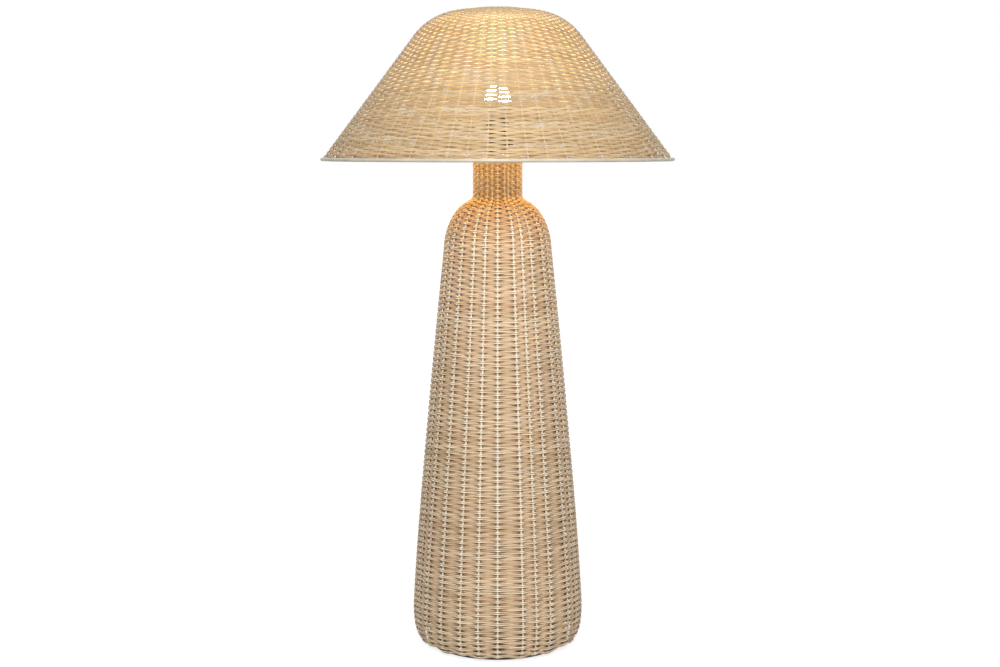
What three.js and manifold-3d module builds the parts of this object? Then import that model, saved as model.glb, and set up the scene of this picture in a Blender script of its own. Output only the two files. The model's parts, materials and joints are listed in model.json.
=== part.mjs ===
// Rattan floor lamp: a woven bottle-shaped body on a steel base plate, under a wide woven cone shade.
// Millimetres, +Z up. The origin is on the floor under the lamp's axis, and the front faces -Y.
// An upright section is written as points (x = distance from the axis, y = height).

import * as THREE from 'three';
import { mergeVertices } from 'three/addons/utils/BufferGeometryUtils.js';
import Module from 'manifold-3d';

const wasm = await Module();
wasm.setup();

// Gap between touching pieces, and how far a cutting tool runs past what it cuts
const clearance = 0.3;
const cutOverrun = 2;
const mergeDistance = 1e-4;

// Counts of facets
const wideSides = 36;
const rimSteps = 60;
const hoopSteps = 28;
const fineSides = 16;
const plainSides = 12;
const smallSides = 8;
const wireSides = 5;
const thinWireSides = 4;
const nutSides = 6;
const mitreLimit = 2;

// Foot pads and base plate
const padCount = 4;
const padRadius = 14;
const padHeight = 3;
const padCircleRadius = 140;
const plateRadius = 168;
const plateThickness = 6;
const plateChamfer = 1.2;

// Woven body: upright wires, the two hoops they are welded to, and the strands round them
const stakeCount = 27;
const stakeDiameter = 4;
const hoopDiameter = 6;
const lowerHoopRadius = 165;
const bodyStrandDiameter = 3.4;
const frontSpanShares = [1.16, 1.16, 0.95, 0.98, 1.28, 0.73, 0.85, 1.35];
const spansLeftOfFront = 4;

// Outline of the body, at the outside of the strands
const footRadius = 172;
const bellyRadius = 205;
const bellyHeight = 90;
const shoulderRadius = 128;
const shoulderRise = 116;
const neckRadius = 59.2;
const neckLength = 78;
const neckTopHeight = 1146;
const cornerPower = 2.2;
const shoulderPower = 1.7;
const shoulderTurnShare = 0.87;
const taperPower = 1.2;
const cornerSteps = 3;
const taperSteps = 2;
const shoulderSteps = 3;

// Clips that hold the lower hoop on the base plate
const clipCount = 3;
const clipWidth = 14;
const clipThickness = 1.5;
const clipFootLength = 16;
const clipRampRun = 4;
const clipRampGap = 4;
const clipNoseLength = 3;
const screwRadius = 2.5;
const screwHeadRadius = 4.5;
const screwHeadHeight = 3;

// Stand tube and the flange that carries it
const tubeRadius = 12.5;
const tubeWall = 1.5;
const flangeRadius = 45;
const flangeThickness = 5;
const bossRadius = 19;
const bossHeight = 34;
const flangeScrewCount = 3;
const flangeScrewCircleRadius = 33;
const setScrewRadius = 2.5;
const setScrewRise = 24;

// Lead inside the lamp, its grommet in the body's wall and its bush in the tube
const leadRadius = 2.5;
const leadBendRadius = 8;
const leadBendSteps = 3;
const grommetNeckRadius = 6;
const grommetFlangeRadius = 8.5;
const grommetFlangeThickness = 2;
const grommetStandOff = 1.6;
const bushNeckRadius = 4.7;
const bushFlangeRadius = 6.5;
const bushFlangeThickness = 1.5;
const bushReach = 1;

// Neck cap and the threaded joint on top of the tube
const neckCapThickness = 1.5;
const neckCapSkirt = 5;
const neckCapGap = 0.8;
const nippleRadius = 5;
const nippleBore = 3.5;
const topBushHeight = 20;
const nippleSink = 18;
const nippleRise = 10;
const washerRadius = 10;
const washerThickness = 1.2;
const locknutFlats = 17;
const locknutHeight = 5;

// Lampholder
const holderRadius = 20;
const holderWall = 2;
const holderBossRadius = 8;
const holderBossHeight = 6;
const holderFlareHeight = 7;
const holderCapHeight = 24;
const holderShoulderRise = 40.5;
const holderShoulderRadius = 23;
const holderShoulderThickness = 2;
const barrelRadius = 19;
const barrelHeight = 24;
const switchBlockRadius = 16;
const switchBlockHeight = 14;
const switchBlockFloor = 3;
const spindleRadius = 2;
const spindleReach = 7;
const knobBossRadius = 5;
const knobBossLength = 4;
const knobRadius = 7;
const knobLength = 12;
const knobWing = 2;
const socketBaseHeight = 13;
const contactRadius = 3;
const contactHeight = 3;
const socketShellRadius = 14.7;
const socketShellWall = 0.8;
const socketShellHeight = 27;

// Bulb
const tipRadius = 4.5;
const tipHeight = 1.5;
const insulatorRadius = 10.8;
const insulatorHeight = 3;
const bulbCapRadius = 13.05;
const bulbCapWall = 0.6;
const bulbCapHeight = 22;
const bulbCapTaper = 2.5;
const housingFootRadius = 13.4;
const housingHeight = 40;
const housingWall = 1.5;
const housingHeightShares = [0, 0.1, 0.5, 0.85, 1];
const housingRadiusShares = [0, 0.05, 0.5, 0.91, 1];
const bulbRadius = 30;
const domeHeight = 42;
const domeWall = 1.2;
const domePower = 2.3;
const domeSteps = 4;
const ledBoardThickness = 1.6;
const ledBoardSink = 8;

// Shade: outline at the outside of its strands, spokes, rings and the fitter that carries it
const rimRadius = 408;
const rimDrop = 69.8;
const rimWireDiameter = 7;
const shadeSideFootRadius = 402.1;
const shadeSideFootRise = 7.5;
const shadeWeaveRise = 4;
const shadeHeight = 338.7;
const crownCornerRadius = 150.4;
const crownFlatWidth = 6;
const crownSteps = 2;
const spokeCount = 59;
const spokeDiameter = 2.5;
const shadeStrandDiameter = 2.85;
const crownRingRadius = 57;
const crownRingDiameter = 5;
const crownDiscRadius = 62;
const crownDiscThickness = 5;
const crownDiscChamfer = 1;
const fitterHoopShare = 0.423;
const fitterWireDiameter = 4;
const fitterArmCount = 3;
const fitterRingRadius = 30;
const fitterRingThickness = 2;
const fitterBoreGap = 0.6;
const fitterShelfLength = 30;
const shadeRingRadius = 26;
const shadeRingHeight = 10;

// Heights and places worked out from the sizes above
const quarterTurn = Math.PI / 2;
const plateBottom = padHeight + clearance;
const plateTop = plateBottom + plateThickness;
const hoopRadius = hoopDiameter / 2;
const stakeRadius = stakeDiameter / 2;
const lowerHoopHeight = plateTop + clearance + hoopRadius;
const neckFootHeight = neckTopHeight - neckLength;
const shoulderHeight = neckFootHeight - shoulderRise;
const stakeOffset = bodyStrandDiameter + stakeRadius;
const footHeight = lowerHoopHeight - stakeOffset;
const bodySkinOffset = stakeOffset + stakeRadius + clearance;
const bodyWeaveBulge = bodySkinOffset - stakeOffset + bodyStrandDiameter / 2;
const upperHoopRadius = neckRadius - stakeOffset;
const upperHoopHeight = neckTopHeight + clearance + hoopRadius;
const neckCapBottom = upperHoopHeight + hoopRadius + clearance;
const tubeBottom = plateTop + clearance;
const tubeTop = neckCapBottom - clearance;
const tubeBore = tubeRadius - tubeWall;
const clipScrewCircleRadius = lowerHoopRadius - hoopRadius - clipRampGap - clipRampRun - clipFootLength / 2;
const clipBottom = plateTop + clearance;
const leadHeight = bellyHeight;
const washerBottom = neckCapBottom + neckCapThickness + clearance;
const locknutBottom = washerBottom + washerThickness + clearance;
const holderBottom = locknutBottom + locknutHeight + clearance;
const holderBodyBottom = holderBottom + holderCapHeight + clearance;
const holderShoulderTop = holderBodyBottom + holderShoulderRise + holderShoulderThickness;
const switchBlockBottom = holderBodyBottom + switchBlockFloor;
const switchBlockTop = switchBlockBottom + switchBlockHeight;
const switchHeight = switchBlockBottom + switchBlockHeight / 2;
const socketBaseBottom = switchBlockTop + clearance;
const socketBaseTop = socketBaseBottom + socketBaseHeight;
const contactTop = socketBaseTop + clearance + contactHeight;
const bulbBottom = contactTop + clearance;
const bulbCapBottom = bulbBottom + tipHeight + insulatorHeight + clearance;
const housingBottom = bulbCapBottom + bulbCapHeight + clearance;
const domeBottom = housingBottom + housingHeight + clearance;
const fitterRingBottom = holderShoulderTop + clearance;
const shadeRingBottom = fitterRingBottom + fitterRingThickness + clearance;
const rimHeight = fitterRingBottom - rimDrop;
const crownHeight = rimHeight + shadeHeight;
const crownFlatRadius = crownDiscRadius + crownFlatWidth;
const fitterHoopHeight = rimHeight + shadeHeight * fitterHoopShare;
const rimWireRadius = rimWireDiameter / 2;
const spokeRadius = spokeDiameter / 2;
const spokeOffset = shadeStrandDiameter + clearance + spokeRadius;
const crownRingHeight = crownHeight - spokeOffset;
const crownDiscBottom = crownRingHeight + crownRingDiameter / 2 + clearance;

// Colours read off the photograph
const finish = {
  rattan: { color: 0xd9b98c, roughness: 0.62, metalness: 0 },
  cream: { color: 0xece2cd, roughness: 0.5, metalness: 0.1 },
  steel: { color: 0xb4b6b8, roughness: 0.35, metalness: 0.9 },
  black: { color: 0x1c1c1d, roughness: 0.45, metalness: 0.1 },
  rubber: { color: 0x2a2928, roughness: 0.9, metalness: 0 },
  brass: { color: 0xc9a352, roughness: 0.3, metalness: 0.95 },
  ceramic: { color: 0xe9e6df, roughness: 0.4, metalness: 0 },
  white: { color: 0xf2efe8, roughness: 0.5, metalness: 0 },
  lit: { color: 0xfff0c8, roughness: 0.4, metalness: 0 },
  wood: { color: 0xc9a06a, roughness: 0.6, metalness: 0 },
};

const lamp = new THREE.Group();

// Adds one named piece; turn is its angle about the lamp's axis
function addPiece(name, geometry, look, turn = 0) {
  const mesh = new THREE.Mesh(geometry, new THREE.MeshStandardMaterial(look));
  mesh.name = name;
  mesh.rotation.z = turn;
  lamp.add(mesh);
  return mesh;
}

const point = (radius, height) => new THREE.Vector2(radius, height);

// Turned piece about +Z. A solid's profile starts and ends on the axis
function turned(profile, sides) {
  return new THREE.LatheGeometry(profile, sides).rotateX(quarterTurn);
}

// Turned piece with a bore: its profile closes on itself
function turnedRing(profile, sides) {
  return turned([...profile, profile[0].clone()], sides);
}

function plainRing(bore, radius, bottom, height, sides) {
  const top = bottom + height;
  return turnedRing([
    point(bore, bottom),
    point(radius, bottom),
    point(radius, top),
    point(bore, top),
  ], sides);
}

function disc(radius, bottom, height, chamfer, sides) {
  const top = bottom + height;
  return turned([
    point(0, bottom),
    point(radius - chamfer, bottom),
    point(radius, bottom + chamfer),
    point(radius, top - chamfer),
    point(radius - chamfer, top),
    point(0, top),
  ], sides);
}

// Round bar along +Z, used as a piece or as a drill
function bar(radius, bottom, top, sides) {
  return new THREE.CylinderGeometry(radius, radius, top - bottom, sides)
    .rotateX(quarterTurn)
    .translate(0, 0, (bottom + top) / 2);
}

// Lays a piece made along +Z so that +Z points away from the axis at the given turn, at one height
function layOut(geometry, turn, height) {
  return geometry.rotateY(quarterTurn).rotateZ(turn).translate(0, 0, height);
}

function solidOf(geometry) {
  const bare = geometry.clone();
  bare.deleteAttribute('normal');
  bare.deleteAttribute('uv');
  const merged = mergeVertices(bare, mergeDistance);
  const corners = merged.index.array;
  const kept = [];
  for (let i = 0; i < corners.length; i += 3) {
    const [a, b, c] = [corners[i], corners[i + 1], corners[i + 2]];
    if (a !== b && b !== c && c !== a) kept.push(a, b, c);
  }
  return new wasm.Manifold(new wasm.Mesh({
    numProp: 3,
    vertProperties: new Float32Array(merged.attributes.position.array),
    triVerts: new Uint32Array(kept),
  }));
}

function geometryOf(solid) {
  const mesh = solid.getMesh();
  const geometry = new THREE.BufferGeometry();
  geometry.setAttribute('position', new THREE.BufferAttribute(new Float32Array(mesh.vertProperties), 3));
  geometry.setIndex(new THREE.BufferAttribute(new Uint32Array(mesh.triVerts), 1));
  geometry.computeVertexNormals();
  return geometry;
}

function joined(geometries) {
  return geometryOf(geometries.map(solidOf).reduce((whole, piece) => whole.add(piece)));
}

function drilled(geometry, drills) {
  return geometryOf(drills.map(solidOf).reduce((left, drill) => left.subtract(drill), solidOf(geometry)));
}

// Moves a section inwards by a distance, with mitred corners
function inset(section, distance) {
  return section.map((here, i) => {
    const before = section[Math.max(i - 1, 0)];
    const after = section[Math.min(i + 1, section.length - 1)];
    const along = after.clone().sub(here).normalize();
    const back = here.clone().sub(before).normalize();
    if (i === 0) back.copy(along);
    if (i === section.length - 1) along.copy(back);
    const outA = point(back.y, -back.x);
    const outB = point(along.y, -along.x);
    const out = outA.add(outB).normalize();
    const mitre = Math.min(1 / out.dot(outB), mitreLimit);
    return here.clone().addScaledVector(out, -distance * mitre);
  });
}

// Point in space at a turn from the front (-Y), positive towards +X
function placed(radius, turn, height) {
  return new THREE.Vector3(radius * Math.sin(turn), -radius * Math.cos(turn), height);
}

// Closed surface from rows of points. Each row is a closed loop, and the rows either
// close on themselves or end in flat caps
function lofted(rows, rowsClose) {
  const size = rows[0].length;
  const positions = rows.flat().flatMap((p) => [p.x, p.y, p.z]);
  const index = [];
  const lastRow = rowsClose ? rows.length : rows.length - 1;
  for (let row = 0; row < lastRow; row++) {
    const next = (row + 1) % rows.length;
    for (let i = 0; i < size; i++) {
      const j = (i + 1) % size;
      const [a, b] = [row * size + i, row * size + j];
      const [c, d] = [next * size + i, next * size + j];
      index.push(a, b, c, b, d, c);
    }
  }
  if (!rowsClose) {
    const top = (rows.length - 1) * size;
    for (let i = 1; i < size - 1; i++) {
      index.push(0, i + 1, i);
      index.push(top, top + i, top + i + 1);
    }
  }
  const geometry = new THREE.BufferGeometry();
  geometry.setAttribute('position', new THREE.Float32BufferAttribute(positions, 3));
  geometry.setIndex(index);
  geometry.computeVertexNormals();
  return facingOut(geometry);
}

// Turns a closed surface's faces outwards, judged by the sign of its volume
function facingOut(geometry) {
  const at = geometry.attributes.position;
  const corners = geometry.index.array;
  const [a, b, c] = [new THREE.Vector3(), new THREE.Vector3(), new THREE.Vector3()];
  let volume = 0;
  for (let i = 0; i < corners.length; i += 3) {
    a.fromBufferAttribute(at, corners[i]);
    b.fromBufferAttribute(at, corners[i + 1]);
    c.fromBufferAttribute(at, corners[i + 2]);
    volume += a.dot(b.cross(c));
  }
  if (volume < 0) {
    for (let i = 0; i < corners.length; i += 3) {
      [corners[i], corners[i + 1]] = [corners[i + 1], corners[i]];
    }
    geometry.computeVertexNormals();
  }
  return geometry;
}

// Round wire bent in an upright plane through the axis
function uprightWire(section, turn, radius, sides) {
  const right = inset(section, -radius);
  const rows = section.map((here, i) => {
    const reach = right[i].clone().sub(here);
    const row = [];
    for (let side = 0; side < sides; side++) {
      const angle = 2 * Math.PI * side / sides;
      const across = Math.cos(angle);
      const p = placed(here.x + reach.x * across, turn, here.y + reach.y * across);
      const sideways = radius * Math.sin(angle);
      p.x += sideways * Math.cos(turn);
      p.y += sideways * Math.sin(turn);
      row.push(p);
    }
    return row;
  });
  return lofted(rows, false);
}

// Closed section of a wall as thick as a strand, from its outside line
function wallSection(outerLine, strandDiameter) {
  return [...outerLine, ...inset(outerLine, strandDiameter).reverse()];
}

// Thin wall all round, with a corner at each wire
function plainWall(outerLine, strandDiameter, turns) {
  const section = wallSection(outerLine, strandDiameter);
  return lofted(section.map((at) => turns.map((turn) => placed(at.x, turn, at.y))), true);
}

// Thin wall all round that swells out by the bulge halfway between two wires, to where the strands
// that pass there are level with the wires
function swellingWall(outerLine, strandDiameter, bulge, turns) {
  const atWires = wallSection(outerLine, strandDiameter);
  const between = wallSection(inset(outerLine, -bulge), strandDiameter);
  const rows = atWires.map((at, i) => turns.flatMap((turn, j) => {
    const next = j + 1 < turns.length ? turns[j + 1] : turns[0] + 2 * Math.PI;
    return [placed(at.x, turn, at.y), placed(between[i].x, (turn + next) / 2, between[i].y)];
  }));
  return lofted(rows, true);
}

function hoop(radius, height, wireDiameter, steps) {
  return new THREE.TorusGeometry(radius, wireDiameter / 2, wireSides, steps).translate(0, 0, height);
}

// Point of a rising section at a height
function pointAt(section, height) {
  const above = section.findIndex((p) => p.y >= height);
  const [low, high] = [section[above - 1], section[above]];
  return low.clone().lerp(high, (height - low.y) / (high.y - low.y));
}

// Point between two points, a given distance from the second
function shortOf(from, to, distance) {
  return to.clone().addScaledVector(to.clone().sub(from).normalize(), -distance);
}

// Body outline from the foot up: round corner, slightly full taper, round shoulder, neck
function bodyOutline() {
  const outline = [];
  for (let step = 0; step <= cornerSteps; step++) {
    const turn = quarterTurn * (1 - step / cornerSteps);
    const across = Math.cos(turn) ** (2 / cornerPower);
    const down = Math.sin(turn) ** (2 / cornerPower);
    outline.push(point(
      footRadius + (bellyRadius - footRadius) * across,
      bellyHeight - (bellyHeight - footHeight) * down,
    ));
  }
  for (let step = 1; step < taperSteps; step++) {
    const share = step / taperSteps;
    outline.push(point(
      bellyRadius - (bellyRadius - shoulderRadius) * share ** taperPower,
      bellyHeight + (shoulderHeight - bellyHeight) * share,
    ));
  }
  for (let step = 0; step <= shoulderSteps; step++) {
    const turn = quarterTurn * shoulderTurnShare * step / shoulderSteps;
    const across = Math.cos(turn) ** (2 / shoulderPower);
    const up = Math.sin(turn) ** (2 / shoulderPower);
    outline.push(point(
      neckRadius + (shoulderRadius - neckRadius) * across,
      shoulderHeight + (neckFootHeight - shoulderHeight) * up,
    ));
  }
  outline.push(point(neckRadius, neckFootHeight + stakeOffset));
  outline.push(point(neckRadius, neckTopHeight));
  return outline;
}

// Turns of the upright wires: uneven in front as in the photograph, even behind
function stakeTurns() {
  const span = 2 * Math.PI / stakeCount;
  const frontShare = frontSpanShares.reduce((sum, share) => sum + share, 0);
  const backSpans = stakeCount - frontSpanShares.length;
  const backShare = (stakeCount - frontShare) / backSpans;
  const shares = [...frontSpanShares, ...Array(backSpans).fill(backShare)];
  const leftShare = frontSpanShares.slice(0, spansLeftOfFront).reduce((sum, share) => sum + share, 0);
  let turn = -leftShare * span;
  return shares.map((share) => {
    const here = turn;
    turn += share * span;
    return here;
  });
}

function evenTurns(count) {
  return Array.from({ length: count }, (_, i) => 2 * Math.PI * i / count);
}

// Shade outline from the rim up: straight side, round crown, flat top
function shadeOutline(rise) {
  const foot = point(shadeSideFootRadius, rimHeight + shadeSideFootRise);
  const corner = point(crownCornerRadius, crownHeight);
  const side = corner.clone().sub(foot).normalize();
  const start = foot.clone().addScaledVector(side, rise);
  const slope = Math.atan2(side.y, -side.x);
  const crownRound = (crownCornerRadius - crownFlatRadius) / Math.tan(slope / 2);
  const centre = point(crownFlatRadius, crownHeight - crownRound);
  const outline = [start];
  for (let step = 0; step <= crownSteps; step++) {
    const turn = slope * (1 - step / crownSteps);
    outline.push(point(
      centre.x + crownRound * Math.sin(turn),
      centre.y + crownRound * Math.cos(turn),
    ));
  }
  outline.push(point(crownDiscRadius + clearance, crownHeight));
  return outline;
}

function panScrew(bottom, seat) {
  return turned([
    point(0, bottom),
    point(screwRadius, bottom),
    point(screwRadius, seat),
    point(screwHeadRadius, seat),
    point(screwHeadRadius, seat + screwHeadHeight / 2),
    point(screwHeadRadius / 2, seat + screwHeadHeight),
    point(0, seat + screwHeadHeight),
  ], smallSides);
}

// Base: pads, plate, hoop clips and flange
function buildBase() {
  for (let i = 0; i < padCount; i++) {
    const turn = 2 * Math.PI * (i + 0.5) / padCount;
    const pad = bar(padRadius, 0, padHeight, plainSides).translate(padCircleRadius, 0, 0);
    addPiece(`foot_pad_${i + 1}`, pad, finish.rubber, turn);
  }

  const screwHole = (radius, turn, bottom, top) => bar(screwRadius + clearance, bottom, top, smallSides)
    .translate(radius, 0, 0)
    .rotateZ(turn);
  const through = [plateBottom - cutOverrun, plateTop + cutOverrun];
  const clipTurns = evenTurns(clipCount);
  const flangeTurns = evenTurns(flangeScrewCount);
  const plate = disc(plateRadius, plateBottom, plateThickness, plateChamfer, wideSides);
  addPiece('base_plate', drilled(plate, [
    ...clipTurns.map((turn) => screwHole(clipScrewCircleRadius, turn, ...through)),
    ...flangeTurns.map((turn) => screwHole(flangeScrewCircleRadius, turn, ...through)),
  ]), finish.black);

  clipTurns.forEach((turn, i) => {
    const seat = clipBottom + clipThickness + clearance;
    const hole = screwHole(clipScrewCircleRadius, 0, plateTop, seat + cutOverrun);
    addPiece(`hoop_clip_${i + 1}`, drilled(hoopClip(), [hole]), finish.steel, turn);
    const screw = panScrew(plateBottom, seat).translate(clipScrewCircleRadius, 0, 0);
    addPiece(`clip_screw_${i + 1}`, screw, finish.steel, turn);
  });

  const flangeTop = tubeBottom + flangeThickness;
  const flange = turnedRing([
    point(tubeRadius + clearance, tubeBottom),
    point(flangeRadius, tubeBottom),
    point(flangeRadius, flangeTop),
    point(bossRadius, flangeTop),
    point(bossRadius, tubeBottom + bossHeight),
    point(tubeRadius + clearance, tubeBottom + bossHeight),
  ], fineSides);
  const setScrewHeight = tubeBottom + setScrewRise;
  const setScrewHole = bar(setScrewRadius + clearance, tubeRadius, bossRadius + cutOverrun, smallSides);
  const holeTop = flangeTop + cutOverrun;
  addPiece('base_flange', drilled(flange, [
    ...flangeTurns.map((turn) => screwHole(flangeScrewCircleRadius, turn, plateTop, holeTop)),
    layOut(setScrewHole, 0, setScrewHeight),
  ]), finish.black);
  flangeTurns.forEach((turn, i) => {
    const screw = panScrew(plateBottom, flangeTop + clearance).translate(flangeScrewCircleRadius, 0, 0);
    addPiece(`flange_screw_${i + 1}`, screw, finish.steel, turn);
  });
  const setScrew = bar(setScrewRadius, tubeRadius + clearance, bossRadius, smallSides);
  addPiece('set_screw', layOut(setScrew, 0, setScrewHeight), finish.steel);
}

// Bent strap: its foot lies on the plate, and it steps up over the lower hoop
function hoopClip() {
  const step = hoopDiameter + clearance;
  const rampFoot = clipScrewCircleRadius + clipFootLength / 2;
  const under = [
    point(clipScrewCircleRadius - clipFootLength / 2, clipBottom),
    point(rampFoot, clipBottom),
    point(rampFoot + clipRampRun, clipBottom + step),
    point(lowerHoopRadius + clipNoseLength, clipBottom + step),
  ];
  const shape = new THREE.Shape([...under, ...inset(under, clipThickness).reverse()]);
  return new THREE.ExtrudeGeometry(shape, { depth: clipWidth, bevelEnabled: false })
    .translate(0, 0, -clipWidth / 2)
    .rotateX(quarterTurn);
}

// Welded cage of upright wires, and the woven wall that swells out between them
function buildBody() {
  const outline = bodyOutline();
  const turns = stakeTurns();
  const path = [point(lowerHoopRadius, lowerHoopHeight), ...inset(outline, stakeOffset)];
  path[path.length - 1] = point(upperHoopRadius, upperHoopHeight);
  const stakes = turns.map((turn) => uprightWire(path, turn, stakeRadius, thinWireSides));
  addPiece('body_frame', joined([
    hoop(lowerHoopRadius, lowerHoopHeight, hoopDiameter, hoopSteps),
    hoop(upperHoopRadius, upperHoopHeight, hoopDiameter, hoopSteps),
    ...stakes,
  ]), finish.cream);

  const outerLine = inset(outline, bodySkinOffset).slice(1);
  const wall = swellingWall(outerLine, bodyStrandDiameter, bodyWeaveBulge, turns);
  const grommetHole = bar(
    grommetNeckRadius + clearance,
    footRadius,
    bellyRadius,
    plainSides,
  );
  addPiece('body_weave', drilled(wall, [layOut(grommetHole, quarterTurn, leadHeight)]), finish.rattan);
}

// Tube up the middle, the lead through it and the bushes that guard the lead
function buildTube() {
  const tube = plainRing(tubeBore, tubeRadius, tubeBottom, tubeTop - tubeBottom, fineSides);
  const leadHole = bar(bushNeckRadius + clearance, 0, tubeRadius + cutOverrun, plainSides);
  addPiece('stand_tube', drilled(tube, [layOut(leadHole, quarterTurn, leadHeight)]), finish.steel);

  const leadBore = leadRadius + clearance;
  const bushSeat = tubeRadius + clearance;
  const bush = turnedRing([
    point(leadBore, tubeBore - bushReach),
    point(bushNeckRadius, tubeBore - bushReach),
    point(bushNeckRadius, bushSeat),
    point(bushFlangeRadius, bushSeat),
    point(bushFlangeRadius, bushSeat + bushFlangeThickness),
    point(leadBore, bushSeat + bushFlangeThickness),
  ], plainSides);
  addPiece('tube_bush', layOut(bush, quarterTurn, leadHeight), finish.rubber);

  const [lastTurn, secondLastTurn] = stakeTurns().reverse();
  const wallInside = bellyRadius - bodySkinOffset - bodyStrandDiameter;
  const innerFace = wallInside * Math.cos((lastTurn - secondLastTurn) / 2) - grommetStandOff;
  const outerFace = bellyRadius + clearance;
  const grommetEnd = outerFace + grommetFlangeThickness;
  const grommet = turnedRing([
    point(leadBore, innerFace - grommetFlangeThickness),
    point(grommetFlangeRadius, innerFace - grommetFlangeThickness),
    point(grommetFlangeRadius, innerFace),
    point(grommetNeckRadius, innerFace),
    point(grommetNeckRadius, outerFace),
    point(grommetFlangeRadius, outerFace),
    point(grommetFlangeRadius, grommetEnd),
    point(leadBore, grommetEnd),
  ], plainSides);
  addPiece('cord_grommet', layOut(grommet, quarterTurn, leadHeight), finish.rubber);

  const route = [point(grommetEnd, leadHeight)];
  for (let step = 0; step <= leadBendSteps; step++) {
    const turn = quarterTurn * step / leadBendSteps;
    route.push(point(
      leadBendRadius * (1 - Math.sin(turn)),
      leadHeight + leadBendRadius * (1 - Math.cos(turn)),
    ));
  }
  route.push(point(0, switchBlockBottom - clearance));
  addPiece('inner_lead', uprightWire(route, Math.PI, leadRadius, smallSides), finish.black);
}

// Neck cap clamped on the tube and the upper hoop
function buildNeck() {
  const capInner = upperHoopRadius + hoopRadius + neckCapGap;
  const capOuter = capInner + neckCapThickness;
  const nippleHole = nippleRadius + clearance;
  const capTop = neckCapBottom + neckCapThickness;
  addPiece('neck_cap', turnedRing([
    point(nippleHole, neckCapBottom),
    point(capInner, neckCapBottom),
    point(capInner, neckCapBottom - neckCapSkirt),
    point(capOuter, neckCapBottom - neckCapSkirt),
    point(capOuter, capTop),
    point(nippleHole, capTop),
  ], hoopSteps), finish.black);

  const topBushBottom = tubeTop - topBushHeight;
  const topBush = plainRing(nippleHole, tubeBore - clearance, topBushBottom, topBushHeight, plainSides);
  addPiece('top_bush', topBush, finish.steel);
  const nippleBottom = tubeTop - nippleSink;
  const nippleLength = holderBottom + nippleRise - nippleBottom;
  const nipple = plainRing(nippleBore, nippleRadius, nippleBottom, nippleLength, plainSides);
  addPiece('lamp_nipple', nipple, finish.steel);
  const washer = plainRing(nippleHole, washerRadius, washerBottom, washerThickness, plainSides);
  addPiece('tooth_washer', washer, finish.steel);
  const nut = hexNut(locknutFlats, nippleHole, locknutHeight).translate(0, 0, locknutBottom);
  addPiece('locknut', nut, finish.brass);
}

function hexNut(flats, bore, height) {
  const cornerRadius = flats / 2 / Math.cos(Math.PI / nutSides);
  const shape = new THREE.Shape(evenTurns(nutSides).map((turn) => point(
    cornerRadius * Math.cos(turn),
    cornerRadius * Math.sin(turn),
  )));
  shape.holes.push(new THREE.Path(evenTurns(plainSides).map((turn) => point(
    bore * Math.cos(turn),
    bore * Math.sin(turn),
  ))));
  return new THREE.ExtrudeGeometry(shape, { depth: height, bevelEnabled: false });
}

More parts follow.
